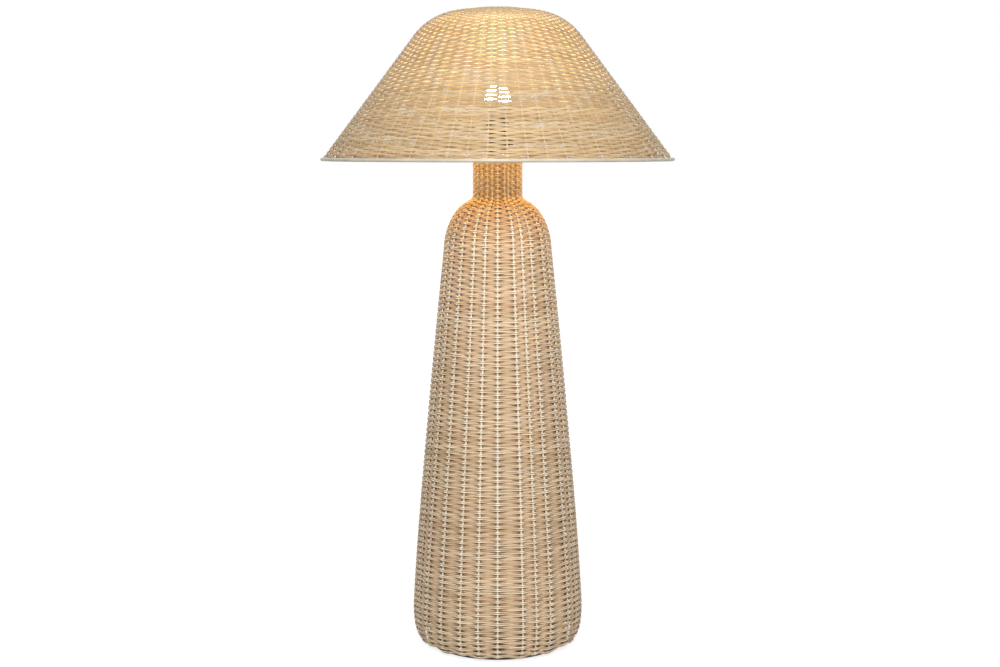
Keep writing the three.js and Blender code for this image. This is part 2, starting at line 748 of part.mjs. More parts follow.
// Lampholder with a turn switch in its side, and the ring that holds the shade on it
function buildLampholder() {
  const bore = nippleRadius + clearance;
  const flareTop = holderBottom + holderBossHeight + holderFlareHeight;
  const capTop = holderBottom + holderCapHeight;
  const innerRadius = holderRadius - holderWall;
  addPiece('lampholder_cap', turnedRing([
    point(bore, holderBottom),
    point(holderBossRadius, holderBottom),
    point(holderBossRadius, holderBottom + holderBossHeight),
    point(holderRadius, flareTop),
    point(holderRadius, capTop),
    point(innerRadius, capTop),
    point(innerRadius, flareTop + holderWall),
    point(holderBossRadius, holderBottom + holderBossHeight + holderWall),
    point(bore, holderBottom + holderBossHeight + holderWall),
  ], fineSides), finish.black);

  const shoulderBottom = holderBodyBottom + holderShoulderRise;
  const barrelTop = holderShoulderTop + barrelHeight;
  const shellHole = socketShellRadius + clearance;
  const boreTop = socketBaseTop + clearance;
  const body = turnedRing([
    point(innerRadius, holderBodyBottom),
    point(holderRadius, holderBodyBottom),
    point(holderRadius, shoulderBottom),
    point(holderShoulderRadius, shoulderBottom),
    point(holderShoulderRadius, holderShoulderTop),
    point(barrelRadius, holderShoulderTop),
    point(barrelRadius, barrelTop),
    point(shellHole, barrelTop),
    point(shellHole, boreTop),
    point(innerRadius, boreTop),
  ], fineSides);
  const knobBossEnd = holderRadius + knobBossLength;
  const knobBoss = bar(knobBossRadius, innerRadius + holderWall / 2, knobBossEnd, plainSides);
  const spindleHole = spindleRadius + clearance;
  const spindleDrill = bar(spindleHole, 0, knobBossEnd + cutOverrun, plainSides);
  layOut(knobBoss, 0, switchHeight);
  layOut(spindleDrill, 0, switchHeight);
  addPiece('lampholder_body', drilled(joined([body, knobBoss]), [spindleDrill]), finish.black);

  const spindleEnd = switchBlockRadius - spindleReach;
  const block = bar(switchBlockRadius, switchBlockBottom, switchBlockTop, plainSides);
  const spindleSeat = bar(spindleHole, spindleEnd, switchBlockRadius + cutOverrun, plainSides);
  layOut(spindleSeat, 0, switchHeight);
  addPiece('switch_block', drilled(block, [spindleSeat]), finish.ceramic);

  const socketBase = bar(innerRadius - clearance, socketBaseBottom, socketBaseTop, fineSides);
  addPiece('socket_base', socketBase, finish.ceramic);
  const contact = bar(contactRadius, socketBaseTop + clearance, contactTop, smallSides);
  addPiece('centre_contact', contact, finish.brass);
  addPiece('socket_shell', plainRing(
    socketShellRadius - socketShellWall,
    socketShellRadius,
    boreTop,
    socketShellHeight,
    fineSides,
  ), finish.brass);

  const knobFoot = knobBossEnd + clearance;
  const knob = turned([
    point(0, spindleEnd + clearance),
    point(spindleRadius, spindleEnd + clearance),
    point(spindleRadius, knobFoot),
    point(knobRadius, knobFoot),
    point(knobRadius - knobWing / 2, knobFoot + knobLength),
    point(0, knobFoot + knobLength),
  ], plainSides);
  addPiece('switch_knob', layOut(knob, 0, switchHeight), finish.black);

  const ringBore = barrelRadius + clearance;
  const ring = plainRing(ringBore, shadeRingRadius, shadeRingBottom, shadeRingHeight, fineSides);
  addPiece('shade_ring', ring, finish.black);
}

// Screw-in bulb
function buildBulb() {
  addPiece('bulb_tip', turned([
    point(0, bulbBottom),
    point(tipRadius, bulbBottom),
    point(tipRadius, bulbBottom + tipHeight),
    point(insulatorRadius, bulbBottom + tipHeight + insulatorHeight),
    point(0, bulbBottom + tipHeight + insulatorHeight),
  ], plainSides), finish.brass);

  const capTop = bulbCapBottom + bulbCapHeight;
  addPiece('bulb_cap', turnedRing([
    point(insulatorRadius - bulbCapWall, bulbCapBottom),
    point(insulatorRadius, bulbCapBottom),
    point(bulbCapRadius, bulbCapBottom + bulbCapTaper),
    point(bulbCapRadius, capTop),
    point(bulbCapRadius - bulbCapWall, capTop),
    point(bulbCapRadius - bulbCapWall, bulbCapBottom + bulbCapTaper),
  ], fineSides), finish.steel);

  const housing = housingRadiusShares.map((share, i) => point(
    housingFootRadius + (bulbRadius - housingFootRadius) * share,
    housingBottom + housingHeight * housingHeightShares[i],
  ));
  const inside = inset(housing, housingWall);
  const housingProfile = [...housing, ...[...inside].reverse()];
  addPiece('bulb_housing', turnedRing(housingProfile, fineSides), finish.white);

  const boardTop = housingBottom + housingHeight - ledBoardSink;
  const boardBottom = boardTop - ledBoardThickness;
  const boardRadius = pointAt(inside, boardBottom).x - clearance;
  addPiece('led_board', bar(boardRadius, boardBottom, boardTop, fineSides), finish.white);

  const domeLine = (shrink) => Array.from({ length: domeSteps + 1 }, (_, step) => {
    const turn = quarterTurn * step / domeSteps;
    return point(
      (bulbRadius - shrink) * Math.cos(turn) ** (2 / domePower),
      domeBottom + (domeHeight - shrink) * Math.sin(turn) ** (2 / domePower),
    );
  });
  const outer = domeLine(0);
  const inner = domeLine(domeWall).reverse();
  outer[domeSteps].x = 0;
  inner[0].x = 0;
  addPiece('bulb_dome', turned([...inner, ...outer], fineSides), finish.lit);
}

// Welded shade frame, its rim ring, the woven cover and the fitter that carries them
function buildShade() {
  const turns = evenTurns(spokeCount);
  const outline = shadeOutline(0);
  const rimCentre = point(rimRadius, rimHeight);
  const path = inset(outline, spokeOffset);
  path[path.length - 1] = point(crownRingRadius, crownRingHeight);
  const rimFlat = rimRadius * (1 - Math.cos(Math.PI / rimSteps));
  const rimEnd = shortOf(path[0], rimCentre, rimWireRadius + rimFlat + clearance);
  const spokes = turns.map((turn) => uprightWire([rimEnd, ...path], turn, spokeRadius, thinWireSides));
  const crownRing = hoop(crownRingRadius, crownRingHeight, crownRingDiameter, hoopSteps);
  addPiece('shade_frame', joined([crownRing, ...spokes]), finish.cream);

  addPiece('rim_ring', hoop(rimRadius, rimHeight, rimWireDiameter, rimSteps), finish.cream);
  const cover = plainWall(shadeOutline(shadeWeaveRise), shadeStrandDiameter, turns);
  addPiece('shade_weave', cover, finish.rattan);
  const crownDisc = disc(crownDiscRadius, crownDiscBottom, crownDiscThickness, crownDiscChamfer, fineSides);
  addPiece('crown_disc', crownDisc, finish.wood);

  addPiece('fitter_ring', plainRing(
    barrelRadius + fitterBoreGap,
    fitterRingRadius,
    fitterRingBottom,
    fitterRingThickness,
    fineSides,
  ), finish.cream);

  const wireRadius = fitterWireDiameter / 2;
  const onSide = pointAt(outline, fitterHoopHeight);
  const hoopInset = spokeOffset + spokeRadius + clearance + wireRadius;
  const hoopCentre = inset([onSide, outline[1]], hoopInset)[0];
  addPiece('fitter_hoop', hoop(hoopCentre.x, hoopCentre.y, fitterWireDiameter, wideSides), finish.cream);

  const armHeight = fitterRingBottom + fitterRingThickness / 2;
  const shelfEnd = point(fitterRingRadius + fitterShelfLength, armHeight);
  const armPath = [
    point(fitterRingRadius + clearance, armHeight),
    shelfEnd,
    shortOf(shelfEnd, hoopCentre, wireRadius + clearance),
  ];
  for (let i = 0; i < fitterArmCount; i++) {
    const turn = 2 * Math.PI * (i + 0.5) / fitterArmCount;
    addPiece(`fitter_arm_${i + 1}`, uprightWire(armPath, turn, wireRadius, smallSides), finish.cream);
  }
}

buildBase();
buildBody();
buildTube();
buildNeck();
buildLampholder();
buildBulb();
buildShade();

export default lamp;
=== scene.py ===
# %% [markdown]
# # Rattan floor lamp
# The real lamp is two wire cages with rattan core woven round them: a tall bottle-shaped body,
# and a wide cone shade that hangs on the lampholder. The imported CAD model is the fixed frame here:
# it says where every piece is. This script weaves real strands where the CAD has plain walls,
# turns finer round parts where the CAD has facets, and gives every surface its finish.

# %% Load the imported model
import json
import math
from collections import namedtuple

import bpy
import numpy as np
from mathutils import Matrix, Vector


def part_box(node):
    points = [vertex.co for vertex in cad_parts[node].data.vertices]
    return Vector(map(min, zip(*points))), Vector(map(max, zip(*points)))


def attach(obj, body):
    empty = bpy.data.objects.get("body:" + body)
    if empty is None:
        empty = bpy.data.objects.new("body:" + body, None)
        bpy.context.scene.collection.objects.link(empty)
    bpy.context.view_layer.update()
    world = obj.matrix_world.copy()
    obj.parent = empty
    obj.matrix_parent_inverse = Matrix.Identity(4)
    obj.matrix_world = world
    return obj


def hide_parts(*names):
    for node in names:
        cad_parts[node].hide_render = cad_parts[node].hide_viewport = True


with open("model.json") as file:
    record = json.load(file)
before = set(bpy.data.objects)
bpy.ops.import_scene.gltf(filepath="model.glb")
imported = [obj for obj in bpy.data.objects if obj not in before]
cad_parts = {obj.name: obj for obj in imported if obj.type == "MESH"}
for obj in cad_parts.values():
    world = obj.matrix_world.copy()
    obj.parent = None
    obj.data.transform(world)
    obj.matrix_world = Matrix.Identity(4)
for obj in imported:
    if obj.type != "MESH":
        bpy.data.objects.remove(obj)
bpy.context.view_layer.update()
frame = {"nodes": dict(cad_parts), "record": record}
nodes = frame["nodes"]
scene = bpy.context.scene
MM = 0.001
print("CAD nodes:", len(nodes))

# %% [markdown]
# ## Camera
# The photograph was taken from a little above the rim of the shade, about 3.4 m away, with a
# normal lens. A camera stands where its lens centre is and looks along its own -Z, so it is
# turned up by 90 degrees less the small angle by which it looks down.

# %% Camera
CAMERA_PLACE = (0.0055, -3.4, 1.178)
CAMERA_DOWN = 7.24
CAMERA_LENS = 52.02

camera_data = bpy.data.cameras.new("camera")
camera_data.lens = CAMERA_LENS
camera = bpy.data.objects.new("camera", camera_data)
camera.location = CAMERA_PLACE
camera.rotation_euler = (math.radians(90 - CAMERA_DOWN), 0, 0)
scene.collection.objects.link(camera)
scene.camera = camera
scene.view_settings.view_transform = "Standard"
print("Camera looks down by", CAMERA_DOWN, "degrees")

# %% [markdown]
# ## Node helpers
# A material is a small network of nodes. These helpers add one node and feed its sockets, with
# either a number, a colour or a link from another node, so that each finish below stays short.


# %% Node helpers
def feed(tree, socket, value):
    """Links an output to a socket, or sets the socket's own value."""
    if isinstance(value, bpy.types.NodeSocket):
        tree.links.new(value, socket)
    else:
        socket.default_value = value


def add_node(tree, kind, sockets=None, **settings):
    """Adds a node, sets its options and feeds its sockets by name or number."""
    node = tree.nodes.new(kind)
    for name, value in settings.items():
        setattr(node, name, value)
    for name, value in (sockets or {}).items():
        feed(tree, node.inputs[name], value)
    return node


def calculate(tree, operation, first, second=0.0, clamp=False):
    """Sum, product or the like of two values, or of one where the operation takes one."""
    sockets = {0: first, 1: second}
    return add_node(tree, "ShaderNodeMath", sockets, operation=operation, use_clamp=clamp).outputs[0]


def mix_colours(tree, amount, first, second):
    """first * (1 - amount) + second * amount; a colour Mix node has its colours at sockets 6 and 7."""
    return add_node(tree, "ShaderNodeMix", {0: amount, 6: first, 7: second}, data_type="RGBA").outputs[2]


def remap(tree, value, low, high, new_low, new_high):
    """Straight rescale of low..high to new_low..new_high, held at both ends."""
    sockets = {"Value": value, "From Min": low, "From Max": high, "To Min": new_low, "To Max": new_high}
    return add_node(tree, "ShaderNodeMapRange", sockets).outputs[0]


NOISE_LOW, NOISE_HIGH = 0.3, 0.7


def noise(tree, vector, scale, detail=3.0):
    """Cloudy value, mostly between the low and the high one; a higher scale makes smaller clouds."""
    sockets = {"Vector": vector, "Scale": scale, "Detail": detail}
    return add_node(tree, "ShaderNodeTexNoise", sockets).outputs[0]


def colour(red, green, blue):
    """Colour of a photograph, 0 to 255, as the linear values that a shader reads."""
    shares = np.array([red, green, blue]) / 255
    linear = np.where(shares <= 0.04045, shares / 12.92, ((shares + 0.055) / 1.055) ** 2.4)
    return (*linear.tolist(), 1.0)


print("Node helpers ready")

# %% [markdown]
# ## Backdrop
# The photograph is a cut-out on white. The world is white only for rays that the camera sees,
# directly or in a mirror or glass, and gives a softer light to everything else: like a studio's
# tent, it is brightest overhead and dimmer near the floor.


# %% World
def camera_sees(tree):
    """1 for rays that the camera sees directly, by a gloss or through glass."""
    path = add_node(tree, "ShaderNodeLightPath").outputs
    either = calculate(tree, "MAXIMUM", path["Is Camera Ray"], path["Is Glossy Ray"])
    return calculate(tree, "MAXIMUM", either, path["Is Transmission Ray"])


HORIZON_STRENGTH = 0.24
OVERHEAD_STRENGTH = 0.42
JUST_BELOW_LEVEL = -0.1
WORLD_COLOUR = (0.98, 0.99, 1.0, 1)

world = bpy.data.worlds.new("studio")
world.use_nodes = True
world_tree = world.node_tree
world_tree.nodes.clear()
direction = add_node(world_tree, "ShaderNodeTexCoord").outputs["Generated"]
rise = add_node(world_tree, "ShaderNodeSeparateXYZ", {0: direction}).outputs[2]
strength = remap(world_tree, rise, JUST_BELOW_LEVEL, 1.0, HORIZON_STRENGTH, OVERHEAD_STRENGTH)
soft = add_node(world_tree, "ShaderNodeBackground", {"Color": WORLD_COLOUR, "Strength": strength})
white = add_node(world_tree, "ShaderNodeBackground", {"Color": (1, 1, 1, 1), "Strength": 1.0})
world_mix = add_node(world_tree, "ShaderNodeMixShader", {
    0: camera_sees(world_tree),
    1: soft.outputs[0],
    2: white.outputs[0],
})
add_node(world_tree, "ShaderNodeOutputWorld", {"Surface": world_mix.outputs[0]})
scene.world = world
print("World gives", HORIZON_STRENGTH, "to", OVERHEAD_STRENGTH, "of white")

# %% [markdown]
# ## Floor
# A plain grey floor would show as grey, and a brighter lamp would burn out the rattan. So the
# floor is a matt grey that takes the lamp's shadow, and adds light of its own for the camera
# only. That light grows with the distance, so that the floor meets the white backdrop unseen.

# %% Floor
FLOOR_REACH = 30.0
FLOOR_SHADE = (0.35, 0.35, 0.35, 1)
GLOW_NEAR, GLOW_FAR = 0.84, 1.0
NEAR, FAR = 0.4, 2.5

floor_material = bpy.data.materials.new("studio_floor")
floor_material.use_nodes = True
floor_tree = floor_material.node_tree
floor_tree.nodes.clear()
floor_diffuse = add_node(floor_tree, "ShaderNodeBsdfDiffuse", {"Color": FLOOR_SHADE})
floor_place = add_node(floor_tree, "ShaderNodeTexCoord").outputs["Object"]
distance = add_node(floor_tree, "ShaderNodeVectorMath", {0: floor_place}, operation="LENGTH")
glow_here = remap(floor_tree, distance.outputs["Value"], NEAR, FAR, GLOW_NEAR, GLOW_FAR)
floor_glow = add_node(floor_tree, "ShaderNodeEmission", {
    "Color": (1, 1, 1, 1),
    "Strength": calculate(floor_tree, "MULTIPLY", camera_sees(floor_tree), glow_here),
})
floor_shaders = {0: floor_diffuse.outputs[0], 1: floor_glow.outputs[0]}
floor_sum = add_node(floor_tree, "ShaderNodeAddShader", floor_shaders)
add_node(floor_tree, "ShaderNodeOutputMaterial", {"Surface": floor_sum.outputs[0]})

floor_mesh = bpy.data.meshes.new("floor")
floor_corners = [(x * FLOOR_REACH, y * FLOOR_REACH, 0) for x, y in ((-1, -1), (1, -1), (1, 1), (-1, 1))]
floor_mesh.from_pydata(floor_corners, [], [(0, 1, 2, 3)])
floor_mesh.materials.append(floor_material)
floor = bpy.data.objects.new("floor", floor_mesh)
scene.collection.objects.link(floor)
print("Floor reaches", FLOOR_REACH, "m each way")

# %% [markdown]
# ## Studio lamps
# A soft lamp in front, a little to the left, gives the tones of the photograph, and a wide weak
# one fills its right side. Both are squares, and the size of a square sets how soft its light is.


# %% Studio lamps
def add_area(name, place, target, size, power, tint):
    """Square soft light at a place, turned so that its own -Z points at the target."""
    data = bpy.data.lights.new(name, "AREA")
    data.size = size
    data.energy = power
    data.color = tint
    lamp = bpy.data.objects.new(name, data)
    lamp.location = place
    x, y, z = np.subtract(target, place)
    lamp.rotation_euler = (math.pi / 2 + math.atan2(z, math.hypot(x, y)), 0, math.atan2(-x, y))
    scene.collection.objects.link(lamp)
    return lamp


MIDDLE_OF_LAMP = (0, 0, 0.8)
add_area("key", (-0.05, -3.3, 2.4), MIDDLE_OF_LAMP, size=0.9, power=116, tint=(1.0, 1.0, 0.99))
add_area("fill", (2.8, -2.4, 1.6), MIDDLE_OF_LAMP, size=2.4, power=13, tint=(1.0, 0.99, 0.97))
print("Studio lamps:", [lamp.name for lamp in bpy.data.lights])

# %% [markdown]
# ## Light of the bulb
# The bulb in the photograph is on: the inside of the shade is so bright that its gaps read as
# white dashes, and the neck and shoulder glow orange below it. A small round lamp stands inside
# the dome of the bulb. The dome itself casts no shadow, because the real one is milky plastic.

# %% Bulb lamp
BULB_POWER = 3.0
BULB_TINT = (1.0, 0.82, 0.38)
BULB_LAMP_SHARE = 0.9
BULB_LAMP_RISE_SHARE = 1 / 3

dome_low, dome_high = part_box("bulb_dome")
bulb_data = bpy.data.lights.new("bulb_light", "POINT")
bulb_data.energy = BULB_POWER
bulb_data.color = BULB_TINT
bulb_data.shadow_soft_size = BULB_LAMP_SHARE * dome_high.x
bulb_light = bpy.data.objects.new("bulb_light", bulb_data)
bulb_light.location = (0, 0, dome_low.z + BULB_LAMP_RISE_SHARE * dome_high.x)
scene.collection.objects.link(bulb_light)
print("Bulb light at", tuple(round(v, 4) for v in bulb_light.location))

# %% [markdown]
# ## Light of the shade's inside
# The inside of the real shade is far brighter than white in the photograph, and throws a deep
# orange light down on the neck and shoulder. A render at the photograph's exposure can't hold it,
# so a wide lamp that only faces down, in the shade's opening, gives that light.

# %% Light thrown down by the shade
THROWN_POWER = 1.35
THROWN_TINT = (1.0, 0.52, 0.06)
THROWN_PLACE = (0, 0, 1.2)
THROWN_SIZE = 0.5
NEARLY_STRAIGHT_DOWN = (0, 0.001, 0)

thrown = add_area(
    "thrown_light", THROWN_PLACE, NEARLY_STRAIGHT_DOWN, THROWN_SIZE, THROWN_POWER, THROWN_TINT)
thrown.visible_camera = False
print("Shade throws", THROWN_POWER, "W down")

# %% [markdown]
# ## Surfaces worked out with numpy
# A surface is a grid of points: rows along a path or a profile, columns round it. Its faces only
# join neighbours, so they are the same sum for every shape. Each helper works on whole arrays.

# %% Grids to shapes
Shape = namedtuple("Shape", "points quads triangles")


def facing_out(shape):
    """The volume inside is the sum of a . (b x c) / 6 over all triangles; below zero, faces turn round."""
    halves = [shape.quads[:, [0, 1, 2]], shape.quads[:, [0, 2, 3]], shape.triangles]
    a, b, c = shape.points[np.concatenate(halves)].transpose(1, 0, 2)
    if np.einsum("ij,ij->", a, np.cross(b, c)) >= 0:
        return shape
    return Shape(shape.points, shape.quads[:, ::-1], shape.triangles[:, ::-1])


def skin(grid, rows_close=False, ends=None):
    """Closed surface on a grid of points whose columns close on themselves.
    Quad (i, j) joins rows i and i + 1. At an open end a fan joins the row to one point, its middle
    unless another is given."""
    rows, columns = grid.shape[:2]
    points = grid.reshape(-1, 3)
    ring = np.arange(columns)
    beside = (ring + 1) % columns
    row = np.arange(rows if rows_close else rows - 1)[:, None] * columns
    above = (row + columns) % (rows * columns)
    quads = np.stack([row + ring, row + beside, above + beside, above + ring], -1).reshape(-1, 4)
    if rows_close:
        return facing_out(Shape(points, quads, np.zeros((0, 3), int)))
    ends = grid[[0, -1]].mean(1) if ends is None else ends
    first = np.full(columns, len(points))
    top = (rows - 1) * columns
    triangles = np.concatenate([
        np.stack([first, beside, ring], -1),
        np.stack([first + 1, top + ring, top + beside], -1),
    ])
    return facing_out(Shape(np.concatenate([points, ends]), quads, triangles))


def joined(shapes):
    """Several shapes as one: face indexes move on past the points before them."""
    starts = np.cumsum([0] + [len(shape.points) for shape in shapes[:-1]])
    return Shape(
        np.concatenate([shape.points for shape in shapes]),
        np.concatenate([shape.quads + start for shape, start in zip(shapes, starts)]),
        np.concatenate([shape.triangles + start for shape, start in zip(shapes, starts)]),
    )


def copies_round(shape, turns):
    """The shape once at each turn: x cos - y sin, x sin + y cos, z."""
    cos, sin = np.cos(turns)[:, None], np.sin(turns)[:, None]
    x, y, z = shape.points.T
    points = np.stack([x * cos - y * sin, x * sin + y * cos, z + 0 * cos], -1)
    starts = np.arange(len(turns))[:, None, None] * len(shape.points)
    return Shape(
        points.reshape(-1, 3),
        (shape.quads + starts).reshape(-1, 4),
        (shape.triangles + starts).reshape(-1, 3),
    )


print("Grid helpers ready")

# %% [markdown]
# ## Paths and profiles
# A wire or a strand is a round profile carried along a path. At each point of the path the
# profile lies across it, between a sideways direction and a second one square to both.
# A turned part is a profile of (radius, height) points carried round the lamp's axis.


# %% Carrying and turning
def unit(vectors):
    """Each vector over its own length."""
    return vectors / np.linalg.norm(vectors, axis=-1, keepdims=True)


def square_to(vectors, along):
    """Each vector less its part along the path, made one long."""
    return unit(vectors - along * np.sum(vectors * along, -1, keepdims=True))


def length_along(points):
    """Length from the first point to each point of a path: the running sum of its steps."""
    return np.concatenate([[0], np.cumsum(np.linalg.norm(np.diff(points, axis=0), axis=1))])


def carried_round(path, sideways, radius, sides, squeeze=1.0):
    """Tube: path point + radius (squeeze * cos a * sideways + sin a * third direction), for each a."""
    along = unit(np.gradient(path, axis=0))
    across = square_to(sideways, along)
    third = np.cross(along, across)
    angle = 2 * np.pi * np.arange(sides)[:, None] / sides
    ring = squeeze * np.cos(angle) * across[:, None] + np.sin(angle) * third[:, None]
    return path[:, None] + np.reshape(radius, (-1, 1, 1)) * ring


def at_turn(section, turn):
    """Points (radius, height) of an upright section as places in space, at a turn from the front."""
    return np.stack([section[:, 0] * np.sin(turn), -section[:, 0] * np.cos(turn), section[:, 1]], -1)


def upright_wire(section, radius, sides=8):
    """Round wire along a section that stands in front of the axis; its sideways direction is +X."""
    path = at_turn(section, np.zeros(len(section)))
    sideways = np.tile([1.0, 0.0, 0.0], (len(path), 1))
    return skin(carried_round(path, sideways, radius, sides))


def turned(profile, sides=72, hollow=True, swell=None):
    """Profile turned round the axis: (r sin t, -r cos t, z). A hollow one is a closed loop of points;
    a solid one runs from the axis to the axis. swell(r, z, t) gives the radius its flutes or thread."""
    turn = 2 * np.pi * np.arange(sides) / sides
    radius, height = profile[:, :1], profile[:, 1:]
    if swell is not None:
        radius = swell(radius, height, turn)
    grid = np.stack(np.broadcast_arrays(radius * np.sin(turn), -radius * np.cos(turn), height), -1)
    return skin(grid, rows_close=True) if hollow else skin(grid[1:-1], ends=grid[[0, -1], 0])


def block(inner, outer, bottom, top):
    """Corners (radius, height) of a rectangle in the upright plane."""
    return [[inner, bottom], [outer, bottom], [outer, top], [inner, top]]


MOST_OF_A_SIDE = 0.45


def rounded(corners, reach, hollow=True, steps=4):
    """Each corner c gives way to the curve (1-t)^2 a + 2t(1-t) c + t^2 b, where a and b are the points
    of its two sides at the reach from it, but no further than a share of a side."""
    corners = np.array(corners, float)
    before = np.roll(corners, 1, 0) - corners
    after = np.roll(corners, -1, 0) - corners
    length_before = np.linalg.norm(before, axis=1, keepdims=True)
    length_after = np.linalg.norm(after, axis=1, keepdims=True)
    a = corners + before * np.minimum(reach / length_before, MOST_OF_A_SIDE)
    b = corners + after * np.minimum(reach / length_after, MOST_OF_A_SIDE)
    t = np.linspace(0, 1, steps)[:, None, None]
    curve = (1 - t) ** 2 * a + 2 * t * (1 - t) * corners + t ** 2 * b
    curve = curve.transpose(1, 0, 2)
    if hollow:
        return curve.reshape(-1, 2)
    return np.concatenate([corners[:1], curve[1:-1].reshape(-1, 2), corners[-1:]])


def hoop(radius, height, thickness, steps=200, sides=12):
    """Ring of round wire: a circle of the wire's radius turned round the axis."""
    angle = 2 * np.pi * np.arange(sides) / sides
    circle = np.stack([radius + thickness / 2 * np.cos(angle), height + thickness / 2 * np.sin(angle)], -1)
    return turned(circle, steps)


print("Path helpers ready")

# %% [markdown]
# ## From shape to piece
# foreach_set hands a whole array to Blender at once. A piece then says which CAD nodes it stands
# for, which slot of the record its finish is, and which body it moves with.


# %% Making a piece
def add_piece(name, shape, slot, body, stands_for, along=None, crossing=None, crease=40):
    """Mesh object from a shape: every quad has 4 corners in a row, then every triangle has 3. along
    and crossing have one value for each point, for rattan."""
    mesh = bpy.data.meshes.new(name)
    corners = np.concatenate([shape.quads.ravel(), shape.triangles.ravel()]).astype(np.int32)
    quad_starts = 4 * np.arange(len(shape.quads))
    triangle_starts = 4 * len(shape.quads) + 3 * np.arange(len(shape.triangles))
    starts = np.concatenate([quad_starts, triangle_starts]).astype(np.int32)
    mesh.vertices.add(len(shape.points))
    mesh.loops.add(len(corners))
    mesh.polygons.add(len(starts))
    mesh.vertices.foreach_set("co", shape.points.ravel().astype(np.float32))
    mesh.loops.foreach_set("vertex_index", corners)
    mesh.polygons.foreach_set("loop_start", starts)
    mesh.polygons.foreach_set("use_smooth", np.ones(len(starts), bool))
    mesh.update(calc_edges=True)
    mesh.set_sharp_from_angle(angle=math.radians(crease))
    if along is not None:
        layer = mesh.attributes.new("along", "FLOAT_VECTOR", "POINT")
        layer.data.foreach_set("vector", along.ravel().astype(np.float32))
    if crossing is not None:
        layer = mesh.attributes.new("crossing", "FLOAT", "POINT")
        layer.data.foreach_set("value", crossing.astype(np.float32))
    mesh.materials.append(finishes[slot])
    piece = bpy.data.objects.new(name, mesh)
    scene.collection.objects.link(piece)
    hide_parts(*stands_for)
    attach(piece, body)
    print(name, "triangles:", 2 * len(shape.quads) + len(shape.triangles))
    return piece


# %% [markdown]
# ## Rattan
# Round rattan core is the pith of a climbing palm, drawn through a die. It is pale tan, with fine
# fibres that run along it, and each length has its own tone, so a woven wall shows bands of
# paler, pinker and yellower rows. The fibres have to follow each strand, so its mesh carries a
# vector called along: metres from the strand's start, the share of the way from its inner side to
# its outer side, and its tone. A number called crossing says where it lies on a wire, 1, or behind
# one, -1. On a wire its colour is painted paler, a painted highlight on the strand's bulge; behind
# one, and where two strands touch, it is painted darker, a painted shade in the pocket and crease.


# %% Rattan fibres
def new_group(name, inputs, outputs):
    """Node group with its sockets; inputs and outputs are lists of (name, kind)."""
    group = bpy.data.node_groups.new(name, "ShaderNodeTree")
    for socket, kind in inputs:
        group.interface.new_socket(name=socket, in_out="INPUT", socket_type=kind)
    for socket, kind in outputs:
        group.interface.new_socket(name=socket, in_out="OUTPUT", socket_type=kind)
    return group, add_node(group, "NodeGroupInput").outputs, add_node(group, "NodeGroupOutput").inputs


FLOAT, COLOUR, VECTOR = "NodeSocketFloat", "NodeSocketColor", "NodeSocketVector"
SURFACE_OUTPUTS = [("Colour", COLOUR), ("Roughness", FLOAT), ("Height", FLOAT)]
FIBRE_LENGTHS = (28.0, 13.0, 91.0)
STAIN_LENGTHS = (7.0, 0.5, 57.0)
STREAK_SWAY, STAIN_SWAY = 0.2, 0.3
TONE_SHUFFLE = 7.3
MOST_WARMTH = 0.45
FIBRE_ROUGHNESS = (0.44, 0.62)

fibres, given, result = new_group(
    "rattan_fibres",
    [("Along", VECTOR), ("Crossing", FLOAT), ("Pale", COLOUR), ("Deep", COLOUR), ("Warm", COLOUR),
     ("Dark", COLOUR), ("Highlight Colour", COLOUR), ("Highlight Strength", FLOAT), ("Tucked Shade", FLOAT)],
    SURFACE_OUTPUTS,
)


def stretched_noise(stretch, detail):
    """Noise on the along vector, with each of its parts multiplied, so it stretches with the strand."""
    sockets = {0: given["Along"], 1: stretch}
    spread_out = add_node(fibres, "ShaderNodeVectorMath", sockets, operation="MULTIPLY")
    return noise(fibres, spread_out.outputs[0], 1.0, detail)


streak = stretched_noise(FIBRE_LENGTHS, 4.0)
stain = stretched_noise(STAIN_LENGTHS, 2.0)
along_parts = add_node(fibres, "ShaderNodeSeparateXYZ", {0: given["Along"]}).outputs
tone = along_parts[2]
streak_part = remap(fibres, streak, NOISE_LOW, NOISE_HIGH, -STREAK_SWAY, STREAK_SWAY)
stain_part = remap(fibres, stain, NOISE_LOW, NOISE_HIGH, -STAIN_SWAY, STAIN_SWAY)
depth = calculate(fibres, "ADD", calculate(fibres, "ADD", tone, streak_part), stain_part, clamp=True)
ground = mix_colours(fibres, depth, given["Pale"], given["Deep"])

# The tone times a larger number, less its whole part, is a second tone that looks unrelated to it.
second_tone = calculate(fibres, "FRACT", calculate(fibres, "MULTIPLY", tone, TONE_SHUFFLE))
warmth = calculate(fibres, "MULTIPLY", second_tone, MOST_WARMTH)
ground = mix_colours(fibres, warmth, ground, given["Warm"])

# Where two strands touch, half-way between the inner and the outer side, the colour is painted darker:
# painted shade in the crease between them.
from_middle = calculate(fibres, "ABSOLUTE", calculate(fibres, "SUBTRACT", along_parts[1], 0.5))
crease = remap(fibres, from_middle, 0.0, 0.3, 0.5, 0.0)
fleck = remap(fibres, streak, 0.62, 0.74, 0.0, 0.5)
# Behind a wire the strand is painted darker: painted shade in the pocket where it dips in.
behind = remap(fibres, given["Crossing"], -0.9, 0.0, 1.0, 0.0)
tucked_shade = calculate(fibres, "MULTIPLY", behind, given["Tucked Shade"])
# The dark colour covers flecks of the grain, which the rattan has, and painted shade in creases and behind
# wires.
dark_share = calculate(fibres, "MAXIMUM", calculate(fibres, "MAXIMUM", crease, fleck), tucked_shade)
